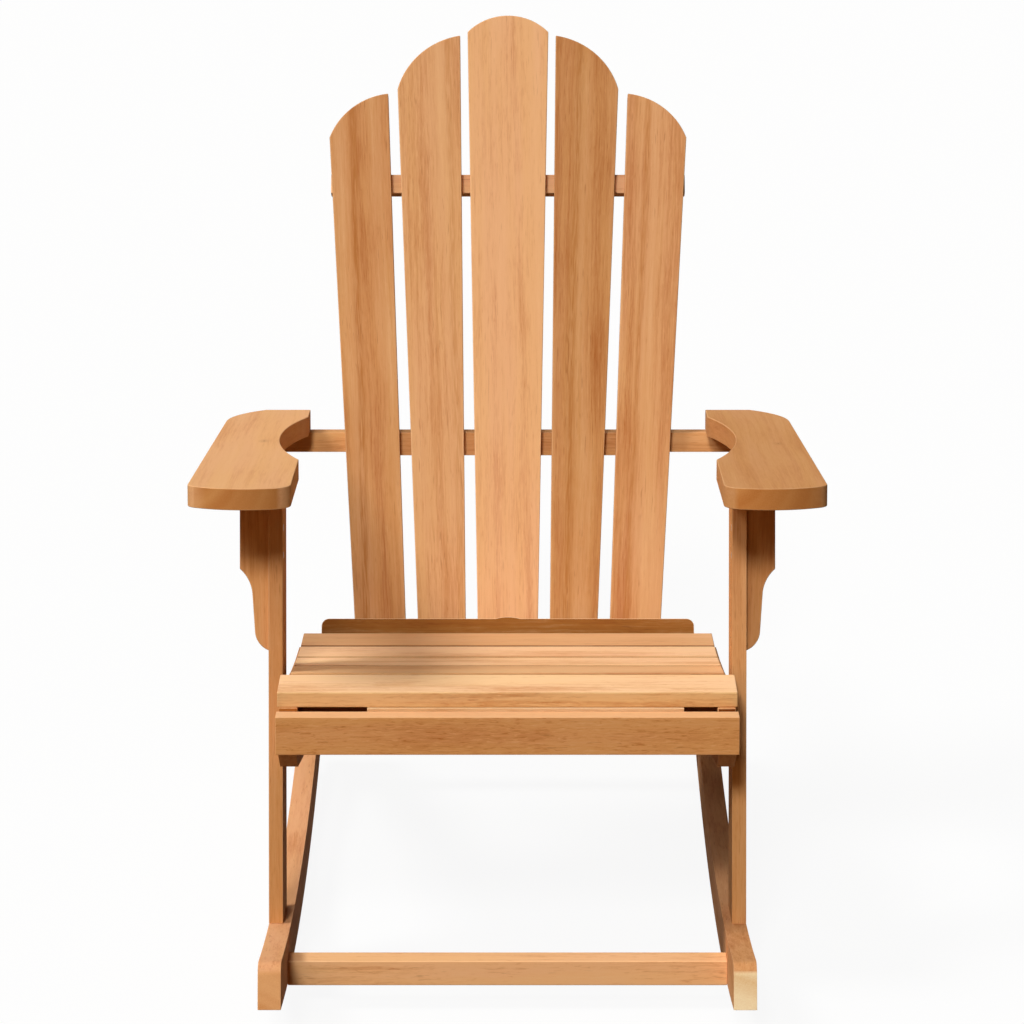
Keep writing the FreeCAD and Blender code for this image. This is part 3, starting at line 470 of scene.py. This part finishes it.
def board_finish(node, tone, seed, ripple=0.0, pores=0.3, bands=0.35, flecks=0.06, knot=NO_KNOT,
                 heart=NO_HEART, ends=None, sun=0.0, wear=1.0):
    """Planed and oiled hardwood for one board.

    ripple is in millimetres. pores, bands and flecks say how strong each pattern is. knot is the
    place of a pin knot in millimetres along and across the board from its middle. heart is the
    place of a heart streak in millimetres from the middle, how far it drifts over each millimetre
    of length, its half width in millimetres, and its strength; on the front stretcher the streak is
    painted shade. ends is the tone of the sawn ends, which is painted light on the rockers and
    painted shade on the side rails. sun is how far the upward faces are painted paler, as painted
    light, and wear is how far the eased edges are painted paler, partly as the rub of hands and
    partly as a painted highlight.
    """
    centre, turn = board_frame(node)
    material, tree = fresh_material("oiled_hardwood_" + node)
    where = add(tree, "ShaderNodeTexCoord").outputs["Object"]
    laid = add(tree, "ShaderNodeMapping", {"vector_type": "TEXTURE"}, vector=where, location=centre,
               rotation=turn.to_euler()).outputs[0]
    wood = add(tree, "ShaderNodeGroup", {"node_tree": hardwood}, place=laid, grain=turn.col[0],
               tone=linear(tone), seed=float(seed), ripple=ripple * MM, pores=pores, bands=bands,
               flecks=flecks, knot=(knot[0] * MM, knot[1] * MM, 0.0), heart_place=heart[0] * MM,
               heart_slope=heart[1], heart_width=heart[2] * MM, heart=heart[3],
               ends=linear(ends or tone), sun=sun, wear=wear).outputs
    oiled_surface(tree, wood)
    return material


# %% [markdown]
# Softened edges
# A planed board has its corners taken off with a few strokes of sandpaper. A copy of each board's
# mesh is welded, its flat faces are joined, and its long sharp edges are rounded. The rims of
# dowel and screw holes stay sharp: they are the small closed loops. The new narrow faces carry an
# attribute, by which the finish knows where a hand has rubbed and where it paints a highlight
# along the edges.

# %% Eased copies
HOLE_SIZE = 18 * MM
WELD = 0.002 * MM
FLAT_WITHIN = math.radians(0.5)
SHARP = math.radians(30)
SHADED_ROUND_UNDER = math.radians(35)


def outline_edges(mesh):
    """The sharp edges of a bmesh, apart from those that make the rim of a hole."""
    sharp = {edge for edge in mesh.edges if len(edge.link_faces) == 2 and edge.calc_face_angle(0) > SHARP}
    chosen = []
    while sharp:
        group, open_edges = [], [sharp.pop()]
        while open_edges:
            edge = open_edges.pop()
            group.append(edge)
            for vertex in edge.verts:
                for other in vertex.link_edges:
                    if other in sharp:
                        sharp.remove(other)
                        open_edges.append(other)
        places = np.array([vertex.co[:] for edge in group for vertex in edge.verts])
        if np.linalg.norm(places.max(axis=0) - places.min(axis=0)) > HOLE_SIZE:
            chosen += group
    return chosen


def finished(piece, material, slot_name, *nodes):
    """Gives a piece its material, and puts it on the chair in the place of the named nodes."""
    piece.data.materials.clear()
    piece.data.materials.append(material)
    piece.data.shade_smooth()
    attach(piece, "root")
    if nodes:
        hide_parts(*nodes)
    return piece


def applied(piece):
    """Makes the mesh that the piece's modifiers show its own, and drops the modifiers."""
    shaped = bpy.data.meshes.new_from_object(piece.evaluated_get(bpy.context.evaluated_depsgraph_get()))
    piece.modifiers.clear()
    old = piece.data
    piece.data = shaped
    bpy.data.meshes.remove(old)


def weighted(piece):
    """Turns the piece's normals so that flat faces shade flat and only the edges shade round."""
    piece.data.shade_smooth()
    piece.data.set_sharp_from_angle(angle=SHADED_ROUND_UNDER)
    piece.modifiers.new("flat_faces", "WEIGHTED_NORMAL").keep_sharp = True
    applied(piece)


def eased_board(node, ease):
    """A copy of a board with its outline rounded by ease millimetres."""
    shape = bmesh.new()
    shape.from_mesh(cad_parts[node].data)
    bmesh.ops.remove_doubles(shape, verts=shape.verts, dist=WELD)
    bmesh.ops.dissolve_limit(shape, angle_limit=FLAT_WITHIN, verts=shape.verts, edges=shape.edges,
                             delimit=set())
    eased = shape.faces.layers.float.new("eased")
    rounded = bmesh.ops.bevel(shape, geom=outline_edges(shape), offset=ease * MM, segments=3,
                              profile=0.5, affect="EDGES", clamp_overlap=True)
    for face in rounded["faces"]:
        face[eased] = 1.0
    mesh = bpy.data.meshes.new(node + "_eased")
    shape.to_mesh(mesh)
    shape.free()
    piece = in_scene(node + "_board", mesh)
    weighted(piece)
    return piece


# %% [markdown]
# The boards
# Each entry is one board: the name of its wood, how far its edges are eased in millimetres, and
# its look. Of the back slats the middle one is the palest, its right neighbour the brownest, and
# the far left one has a heart streak a third of the way in. The tone is the colour of the wood
# itself, without the light that falls on it, apart from a few boards that carry painted light and
# painted shade: the upper back rail and the front stretcher are paler where other parts shade
# them, and the seat rail is darker where it lies in shade.

# %% The frame, the arms and the back
BOARDS = {
    # The rockers' paler end tones, the right one nearly white, are painted light on their lit front ends
    "left_rocker": ("frame_wood", 1.2, dict(tone="#dea26f", ripple=2, ends="#e7b079")),
    "right_rocker": ("frame_wood", 1.2, dict(tone="#d09560", ripple=2, ends="#ffecc2")),
    "left_front_leg": ("frame_wood", 1.0, dict(tone="#c88c54", pores=0.3, bands=0.2)),
    "right_front_leg": ("frame_wood", 1.0, dict(tone="#d2985f", pores=0.3, bands=0.2)),
    # The side rails' dark end tones, the right one darker, are painted shade on their noses
    "left_side_rail": ("frame_wood", 1.2, dict(tone="#cf955e", ends="#a86c34")),
    "right_side_rail": ("frame_wood", 1.2, dict(tone="#cf955e", ends="#6e3c12")),
    "left_arm": ("arm_wood", 1.0, dict(tone="#dfa871", pores=0.05, bands=0.2, flecks=0.02,
                                       knot=(60, 10), ends="#ca8e52")),
    "right_arm": ("arm_wood", 1.0, dict(tone="#c68e57", pores=0.05, bands=0.2, flecks=0.02,
                                        knot=(40, 20), ends="#cb8c4e")),
    "left_arm_bracket": ("frame_wood", 1.0, dict(tone="#d2965c", pores=0.3)),
    "right_arm_bracket": ("frame_wood", 1.0, dict(tone="#c88d55", pores=0.3)),
    "middle_back_slat": ("back_slat_wood", 1.2, dict(tone="#e2ac78", pores=0.2, bands=0.2)),
    "left_inner_back_slat": ("back_slat_wood", 1.2, dict(tone="#d7a16c", bands=0.28,
                                                         heart=(24, 0.0, 9, 0.4))),
    "right_inner_back_slat": ("back_slat_wood", 1.2, dict(tone="#c38b55", heart=(-9, 0.0, 9, 0.5))),
    "left_outer_back_slat": ("back_slat_wood", 1.2, dict(tone="#c88e58", heart=(-13, 0.018, 9, 0.6))),
    "right_outer_back_slat": ("back_slat_wood", 1.2, dict(tone="#d29a65", heart=(-10, 0.0, 6, 0.5))),
    # The apron's upward faces are painted paler: painted light on its top
    "apron": ("frame_wood", 0.8, dict(tone="#dc9c5d", ripple=8, pores=0.3, bands=0.2,
                                      flecks=0.18, sun=0.5)),
    "front_cleat": ("frame_wood", 0.6, dict(tone="#dcb98a", ripple=4)),
    # The seat rail's dark tone is painted shade in the slot under the front slat
    "seat_rail": ("frame_wood", 0.8, dict(tone="#8a5a30", ripple=4)),
    # The lower back rail's upward faces and eased edges are painted much paler: a painted highlight along its
    # top edge
    "lower_back_rail": ("frame_wood", 1.6, dict(tone="#965f28", ripple=4, sun=0.8, wear=2.6)),
    # The upper back rail's pale tone is painted light where the back slats shade it
    "upper_back_rail": ("frame_wood", 1.0, dict(tone="#eab682", ripple=2)),
    "arm_rail": ("frame_wood", 1.0, dict(tone="#cd955c", ripple=2)),
    # The front stretcher's pale tone is painted light where the seat shades it, and its heart streak is
    # painted shade along its top edge
    "front_stretcher": ("frame_wood", 1.2, dict(tone="#f6bd83", ripple=5, pores=0.3, flecks=0.12,
                                                heart=(16, -0.01, 5, 1.0))),
    "rear_stretcher": ("frame_wood", 1.2, dict(tone="#d09660", ripple=5, pores=0.7)),
}

boards = []
for seed, (name, (slot_name, ease, look)) in enumerate(BOARDS.items(), start=1):
    board = eased_board(name, ease)
    finished(board, board_finish(name, seed=seed, **look), slot_name, name)
    boards.append(board)
print("boards:", len(boards), "faces:", sum(len(board.data.polygons) for board in boards))

# %% [markdown]
# The seat slats
# Five planks of one section lie across the seat. They follow a rule, so Geometry Nodes make them:
# a rectangle with rounded corners is drawn along a line as long as the slat, and the plank is set
# on one point for each slat. The points carry the length and the turn that the frame gives.

# %% Planks from a rule
SLATS = ["seat_slat_%d" % number for number in range(1, 6)]
SLAT_EASE = 1.5 * MM


def interface(tree, *sockets):
    """Named inputs of a geometry tree: name, kind and value."""
    tree.interface.new_socket("Geometry", in_out="INPUT", socket_type="NodeSocketGeometry")
    for name, kind, value in sockets:
        socket = tree.interface.new_socket(name, in_out="INPUT", socket_type="NodeSocket" + kind)
        if value is not None:
            socket.default_value = value
    tree.interface.new_socket("Geometry", in_out="OUTPUT", socket_type="NodeSocketGeometry")
    return add(tree, "NodeGroupInput").outputs


def named_value(tree, kind, name):
    """A stored attribute, read back inside the tree."""
    node = add(tree, "GeometryNodeInputNamedAttribute", {"data_type": kind})
    node.inputs["Name"].default_value = name
    return node.outputs["Attribute"]


def plank_tree():
    """One plank, set on every point and numbered by its place in the list."""
    tree = bpy.data.node_groups.new("planks_on_points", "GeometryNodeTree")
    given = interface(tree, ("Width", "Float", 70 * MM), ("Thickness", "Float", 17 * MM),
                      ("Edge Round", "Float", SLAT_EASE), ("Material", "Material", None))
    line = add(tree, "GeometryNodeCurvePrimitiveLine", start=(-0.5, 0, 0), end=(0.5, 0, 0))
    section = add(tree, "GeometryNodeCurvePrimitiveQuadrilateral", width=given["Width"],
                  height=given["Thickness"])
    soft = add(tree, "GeometryNodeFilletCurve", {"mode": "POLY"}, curve=section.outputs[0],
               radius=given["Edge Round"], count=3)
    plank = add(tree, "GeometryNodeCurveToMesh", curve=line.outputs[0], profile_curve=soft.outputs[0],
                fill_caps=True)
    length = add(tree, "ShaderNodeCombineXYZ", x=named_value(tree, "FLOAT", "length"), y=1.0, z=1.0)
    placed = add(tree, "GeometryNodeInstanceOnPoints", points=given["Geometry"], instance=plank.outputs[0],
                 rotation=named_value(tree, "FLOAT_VECTOR", "turn"), scale=length.outputs[0])
    index = add(tree, "GeometryNodeInputIndex").outputs[0]
    numbered = add(tree, "GeometryNodeStoreNamedAttribute", {"data_type": "FLOAT", "domain": "INSTANCE"},
                   geometry=placed.outputs[0], name="board", value=index)
    solid = add(tree, "GeometryNodeRealizeInstances", geometry=numbered.outputs[0])
    dressed = add(tree, "GeometryNodeSetMaterial", geometry=solid.outputs[0], material=given["Material"])
    add(tree, "NodeGroupOutput", geometry=dressed.outputs[0])
    return tree


planks_on_points = plank_tree()
print("plank tree inputs:", [item.name for item in planks_on_points.interface.items_tree
                             if item.in_out == "INPUT"])

# %% [markdown]
# From points to a mesh
# A helper carries a point cloud through a tree. It sets the inputs by their identifiers, takes
# the evaluated result as a plain mesh and drops the modifier, so that nothing live is left on
# the piece. A slat's size and turn are read from its flat faces, which gives them exactly.

# %% Running a tree
def points_object(name, places, **attributes):
    """An object of loose points with float or vector attributes on them."""
    mesh = bpy.data.meshes.new(name)
    mesh.from_pydata([tuple(place) for place in places], [], [])
    for label, values in attributes.items():
        vector = hasattr(values[0], "__len__")
        layer = mesh.attributes.new(label, "FLOAT_VECTOR" if vector else "FLOAT", "POINT")
        flat = [number for value in values for number in value] if vector else values
        layer.data.foreach_set("vector" if vector else "value", flat)
    return in_scene(name, mesh)


def realised(piece, tree, **inputs):
    """Replaces the object's mesh by what the tree makes of it."""
    nodes = piece.modifiers.new("made", "NODES")
    nodes.node_group = tree
    for item in tree.interface.items_tree:
        key = item.name.lower().replace(" ", "_")
        if item.in_out == "INPUT" and key in inputs:
            nodes[item.identifier] = inputs[key]
    applied(piece)
    return piece


def square_board(node):
    """Size, middle and turn of a rectangular board, read from its broad face and its long side."""
    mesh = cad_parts[node].data
    faces = sorted(mesh.polygons, key=lambda face: -face.area)
    through = faces[0].normal * math.copysign(1, faces[0].normal.z)
    side = next(face.normal for face in faces if abs(face.normal.dot(through)) < 0.01)
    grain = side.cross(through)
    grain = (grain * math.copysign(1, grain.x)).normalized()
    turn = Matrix((grain, through.cross(grain), through)).transposed()
    local = np.array([vertex.co[:] for vertex in mesh.vertices]) @ np.array(turn)
    size = local.max(axis=0) - local.min(axis=0)
    return size, turn @ Vector((local.max(axis=0) + local.min(axis=0)) / 2), turn.to_euler()[:]


sizes, middles, turns = zip(*map(square_board, SLATS))
print("slat sizes in mm:", [[round(v / MM, 1) for v in size] for size in sizes])

# %% [markdown]
# The seat's finish
# All five slats are one mesh, so the finish reads the number that the tree stored on each of
# them. The number picks a tone for the planed faces and a darker one for the long edges, which is
# painted shade in the gaps between the slats and on the front slat's front face, and moves the
# pattern along the grain. Slats 1, 3 and 4 are the palest. The figure is rippled, as it often is
# where the log was sawn near its outside.

# %% Seat finish
SLAT_TONES = ["#fccf99", "#e4b078", "#ffd09a", "#ffcf9b", "#dda46d"]
GAP_SHADE_TONES = ["#e5b87d", "#cd9862", "#a8713e", "#b98450", "#8a5528"]
SLAT_STEP = 0.73
FAR_OFF = (9, 9, 9)


def by_number(tree, number, tones):
    """The tone whose place in the list is the slat's number."""
    picker = add(tree, "ShaderNodeValToRGB", fac=calculate(tree, "DIVIDE", number, len(tones)))
    picker.color_ramp.interpolation = "CONSTANT"
    stops = picker.color_ramp.elements
    stops.remove(stops[1])
    stops[0].color = linear(tones[0])
    for place, tone in enumerate(tones[1:], start=1):
        stops.new((place - 0.5) / len(tones)).color = linear(tone)
    return picker.outputs["Color"]


def seat_finish():
    """Planed and oiled hardwood for all the seat slats, each from another place in the tree."""
    material, tree = fresh_material("oiled_hardwood_seat")
    number = add(tree, "ShaderNodeAttribute", {"attribute_name": "board"}).outputs["Fac"]
    # Painted shade: each slat's front arris and face and its back face take a darker tone, which stands for
    # the shade in the gaps between the slats and on the front slat's front face
    normal = add(tree, "ShaderNodeTexCoord").outputs["Normal"]
    facing = add(tree, "ShaderNodeSeparateXYZ", vector=normal).outputs["Y"]
    edge = calculate(tree, "MAXIMUM", ramp(tree, facing, -0.05, -0.35), ramp(tree, facing, 0.80, 0.95))
    tone = blend(tree, edge, by_number(tree, number, SLAT_TONES), by_number(tree, number, GAP_SHADE_TONES))
    where = add(tree, "ShaderNodeTexCoord").outputs["Object"]
    step = add(tree, "ShaderNodeCombineXYZ", x=calculate(tree, "MULTIPLY", number, SLAT_STEP), y=0.0, z=0.0)
    place = add(tree, "ShaderNodeVectorMath", _0=where, _1=step.outputs[0]).outputs[0]
    # The upward faces of the slats are painted a little paler, as painted light
    wood = add(tree, "ShaderNodeGroup", {"node_tree": hardwood}, place=place, grain=(1, 0, 0),
               tone=tone, seed=30.0, ripple=6 * MM, pores=0.3, bands=0.45, flecks=0.10, knot=FAR_OFF,
               heart_place=0.0, heart_slope=0.0, heart_width=10 * MM, heart=0.0, ends=tone,
               sun=0.12, wear=0.0).outputs
    oiled_surface(tree, wood)
    return material


# %% [markdown]
# Setting the slats
# The first slat is longer than the others, because it reaches over the legs. After the tree has
# run, a bevel takes the sharp corners off the sawn ends.

# %% Seat slats
END_EASE = 0.8 * MM

seat_material = seat_finish()
points = points_object("seat_slats", middles, length=[size[0] for size in sizes], turn=turns)
seat = realised(points, planks_on_points, width=float(sizes[0][1]), thickness=float(sizes[0][2]),
                edge_round=SLAT_EASE, material=seat_material)
ends = seat.modifiers.new("eased_ends", "BEVEL")
ends.width = END_EASE
ends.segments = 2
ends.angle_limit = math.radians(60)
weighted(seat)
finished(seat, seat_material, "seat_slat_wood", *SLATS)
print("seat slats:", len(seat.data.polygons), "faces")

# %% [markdown]
# Screws
# The screws are countersunk and flush, and each has a cross recess. The frame says where each one
# is: its solid's longest direction is its axis, and the wider end is its head. A tree then builds
# one screw, cuts the recess into its head and sets it on every point, each turned as it happened
# to come to rest.

# %% Where the screws are
def separate_solids(node):
    """The corner places of each solid in a node, one array per solid.

    The corners wait in a dictionary, which keeps the mesh's own order. So the screws come in the
    same order on every run, and each is turned in the same way.
    """
    shape = bmesh.new()
    shape.from_mesh(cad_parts[node].data)
    bmesh.ops.remove_doubles(shape, verts=shape.verts, dist=WELD)
    left = dict.fromkeys(shape.verts)
    solids = []
    while left:
        found, reached = [], [left.popitem()[0]]
        while reached:
            vertex = reached.pop()
            found.append(vertex.co[:])
            for edge in vertex.link_edges:
                other = edge.other_vert(vertex)
                if other in left:
                    del left[other]
                    reached.append(other)
        solids.append(np.array(found))
    shape.free()
    return solids


def screw_measures(places):
    """Head's middle, direction out of the wood, length, head and shank diameter of one screw."""
    middle = places.mean(axis=0)
    axis = np.linalg.svd(places - middle)[2][0]
    along = (places - middle) @ axis
    out = np.linalg.norm(places - middle - np.outer(along, axis), axis=1)
    if along[np.argmax(out)] < 0:
        axis, along = -axis, -along
    head = middle + axis * along.max()
    shank = out[along < along.min() + 1 * MM].max()
    return head, axis, along.max() - along.min(), 2 * out.max(), 2 * shank


print("one screw:", [np.round(v, 4).tolist() for v in screw_measures(separate_solids("cleat_screws")[0])])

# %% The screw tree
HEAD_SLOPE = 0.55
HEAD_SIDES = 32
SHANK_SIDES = 20
RECESS_LENGTH = 0.58
RECESS_WIDTH = 0.15
RECESS_DEPTH = 0.22


def screw_tree():
    """One countersunk screw with a cross recess, set on every point and turned by chance."""
    tree = bpy.data.node_groups.new("cross_head_screws_on_points", "GeometryNodeTree")
    given = interface(tree, ("Head Diameter", "Float", 8 * MM), ("Shank Diameter", "Float", 4 * MM),
                      ("Length", "Float", 30 * MM), ("Seed", "Int", 1), ("Material", "Material", None))
    head = calculate(tree, "MULTIPLY", given["Head Diameter"], 0.5)
    shank = calculate(tree, "MULTIPLY", given["Shank Diameter"], 0.5)
    deep = calculate(tree, "MULTIPLY", calculate(tree, "SUBTRACT", head, shank), 2 * HEAD_SLOPE)
    cone = add(tree, "GeometryNodeMeshCone", vertices=HEAD_SIDES, radius_top=head, radius_bottom=shank,
               depth=deep)
    down = add(tree, "ShaderNodeCombineXYZ", x=0.0, y=0.0, z=calculate(tree, "MULTIPLY", deep, -1.0))
    cone = add(tree, "GeometryNodeTransform", geometry=cone.outputs[0], translation=down.outputs[0])

    long, wide, tall = [calculate(tree, "MULTIPLY", given["Head Diameter"], share)
                        for share in (RECESS_LENGTH, RECESS_WIDTH, 2 * RECESS_DEPTH)]
    bars = []
    for x, y in ((long, wide), (wide, long)):
        size = add(tree, "ShaderNodeCombineXYZ", x=x, y=y, z=tall).outputs[0]
        bars.append(add(tree, "GeometryNodeMeshCube", size=size))
    cut = add(tree, "GeometryNodeMeshBoolean", {"operation": "DIFFERENCE", "solver": "EXACT"},
              _0=cone.outputs[0])
    for bar in bars:
        tree.links.new(bar.outputs[0], cut.inputs[1])

    stem = calculate(tree, "SUBTRACT", given["Length"], deep)
    rod = add(tree, "GeometryNodeMeshCylinder", vertices=SHANK_SIDES, radius=shank, depth=stem)
    low = calculate(tree, "SUBTRACT", calculate(tree, "MULTIPLY", stem, -0.5), deep)
    rod = add(tree, "GeometryNodeTransform", geometry=rod.outputs[0],
              translation=add(tree, "ShaderNodeCombineXYZ", x=0.0, y=0.0, z=low).outputs[0])
    screw = add(tree, "GeometryNodeJoinGeometry")
    tree.links.new(cut.outputs[0], screw.inputs[0])
    tree.links.new(rod.outputs[0], screw.inputs[0])

    aim = add(tree, "FunctionNodeAlignRotationToVector", {"axis": "Z"},
              vector=named_value(tree, "FLOAT_VECTOR", "outwards"))
    chance = add(tree, "FunctionNodeRandomValue", {"data_type": "FLOAT"}, min=0.0, max=math.pi,
                 seed=given["Seed"])
    spin = add(tree, "FunctionNodeAxisAngleToRotation", axis=(0, 0, 1), angle=chance.outputs[1])
    aimed = add(tree, "FunctionNodeRotateRotation", {"rotation_space": "LOCAL"}, rotation=aim.outputs[0],
                rotate_by=spin.outputs[0])
    placed = add(tree, "GeometryNodeInstanceOnPoints", points=given["Geometry"], instance=screw.outputs[0],
                 rotation=aimed.outputs[0])
    solid = add(tree, "GeometryNodeRealizeInstances", geometry=placed.outputs[0])
    dressed = add(tree, "GeometryNodeSetMaterial", geometry=solid.outputs[0], material=given["Material"])
    add(tree, "NodeGroupOutput", geometry=dressed.outputs[0])
    return tree


screws_on_points = screw_tree()
print("screw tree nodes:", len(screws_on_points.nodes))

# %% [markdown]
# Metal and dowel finishes
# Garden furniture screws are zinc-plated steel: a cool grey with a faint cloudy bloom. The bolts
# and their sleeves are plain stainless, turned on a lathe. The dowels are beech, which is paler
# than the boards and flecked.

# %% Metal and dowel finishes
BLOOM = 1.8 * MM
TOOL_MARK = 0.35 * MM


def metal(name, pale, dark, roughness, grain_size):
    """A bare metal whose brightness and gloss wander over grain_size."""
    material, tree = fresh_material(name)
    where = add(tree, "ShaderNodeTexCoord").outputs["Object"]
    cloud = noise(tree, where, 1 / grain_size, 3, 0.6)
    fine = noise(tree, where, 1 / TOOL_MARK, 2, 0.6)
    colour = blend(tree, cloud, linear(dark), linear(pale))
    rough = ramp(tree, cloud, 0.2, 0.8, roughness - 0.06, roughness + 0.10)
    bump = add(tree, "ShaderNodeBump", strength=0.3, distance=0.03 * MM, height=fine)
    shader = add(tree, "ShaderNodeBsdfPrincipled", base_color=colour, metallic=1.0, roughness=rough,
                 normal=bump.outputs[0])
    add(tree, "ShaderNodeOutputMaterial", surface=shader.outputs[0])
    return material


def beech():
    """Turned beech: pale, with short flecks along the dowel."""
    material, tree = fresh_material("turned_beech")
    where = add(tree, "ShaderNodeTexCoord").outputs["Object"]
    flecks = noise(tree, stretched(tree, where, 6 * MM, 1.2 * MM), 1.0, 2, 0.6)
    colour = blend(tree, ramp(tree, flecks, 0.35, 0.70), linear("#e6c79c"), linear("#c79a68"))
    rough = ramp(tree, flecks, 0.2, 0.8, 0.55, 0.70)
    bump = add(tree, "ShaderNodeBump", strength=0.3, distance=0.1 * MM, height=flecks)
    shader = add(tree, "ShaderNodeBsdfPrincipled", base_color=colour, roughness=rough,
                 normal=bump.outputs[0], ior=1.5, specular_ior_level=0.3)
    add(tree, "ShaderNodeOutputMaterial", surface=shader.outputs[0])
    return material


zinc = metal("zinc_plated_steel", "#c6c7c4", "#a3a5a5", 0.34, BLOOM)
stainless = metal("turned_stainless_steel", "#cfccc6", "#b4b1ab", 0.26, BLOOM * 2)
dowel_wood = beech()
print("metals:", zinc.name, stainless.name)

# %% Screws in place
SCREWS = ["slat_foot_screws", "upper_rail_screws", "arm_rail_screws", "arm_end_screws",
          "bracket_screws", "cleat_screws", "stretcher_screws"]

for seed, name in enumerate(SCREWS, start=1):
    heads, outwards, lengths, wide, thin = zip(*map(screw_measures, separate_solids(name)))
    group = points_object(name + "_driven", heads, outwards=outwards)
    realised(group, screws_on_points, head_diameter=float(wide[0]), shank_diameter=float(thin[0]),
             length=float(lengths[0]), seed=seed, material=zinc)
    finished(group, zinc, "screw_steel", name)
    group.data.shade_flat()
    print(name, len(heads), "screws,", len(group.data.polygons), "faces")

# %% [markdown]
# Bolts, sleeves and dowels
# These are right as the model made them, with their hexagon sockets, so they stay and only get
# their finish.

# %% What stays as modelled
STAYS = {
    "frame_bolts": stainless, "sleeve_nuts": stainless,
    "seat_dowels": dowel_wood, "apron_dowels": dowel_wood, "seat_rail_dowels": dowel_wood,
    "lower_rail_dowels": dowel_wood, "rear_stretcher_dowels": dowel_wood, "foot_dowels": dowel_wood,
    "arm_dowels": dowel_wood,
}
for name, material in STAYS.items():
    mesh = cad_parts[name].data
    mesh.materials.clear()
    mesh.materials.append(material)
print("kept as modelled:", len(STAYS))
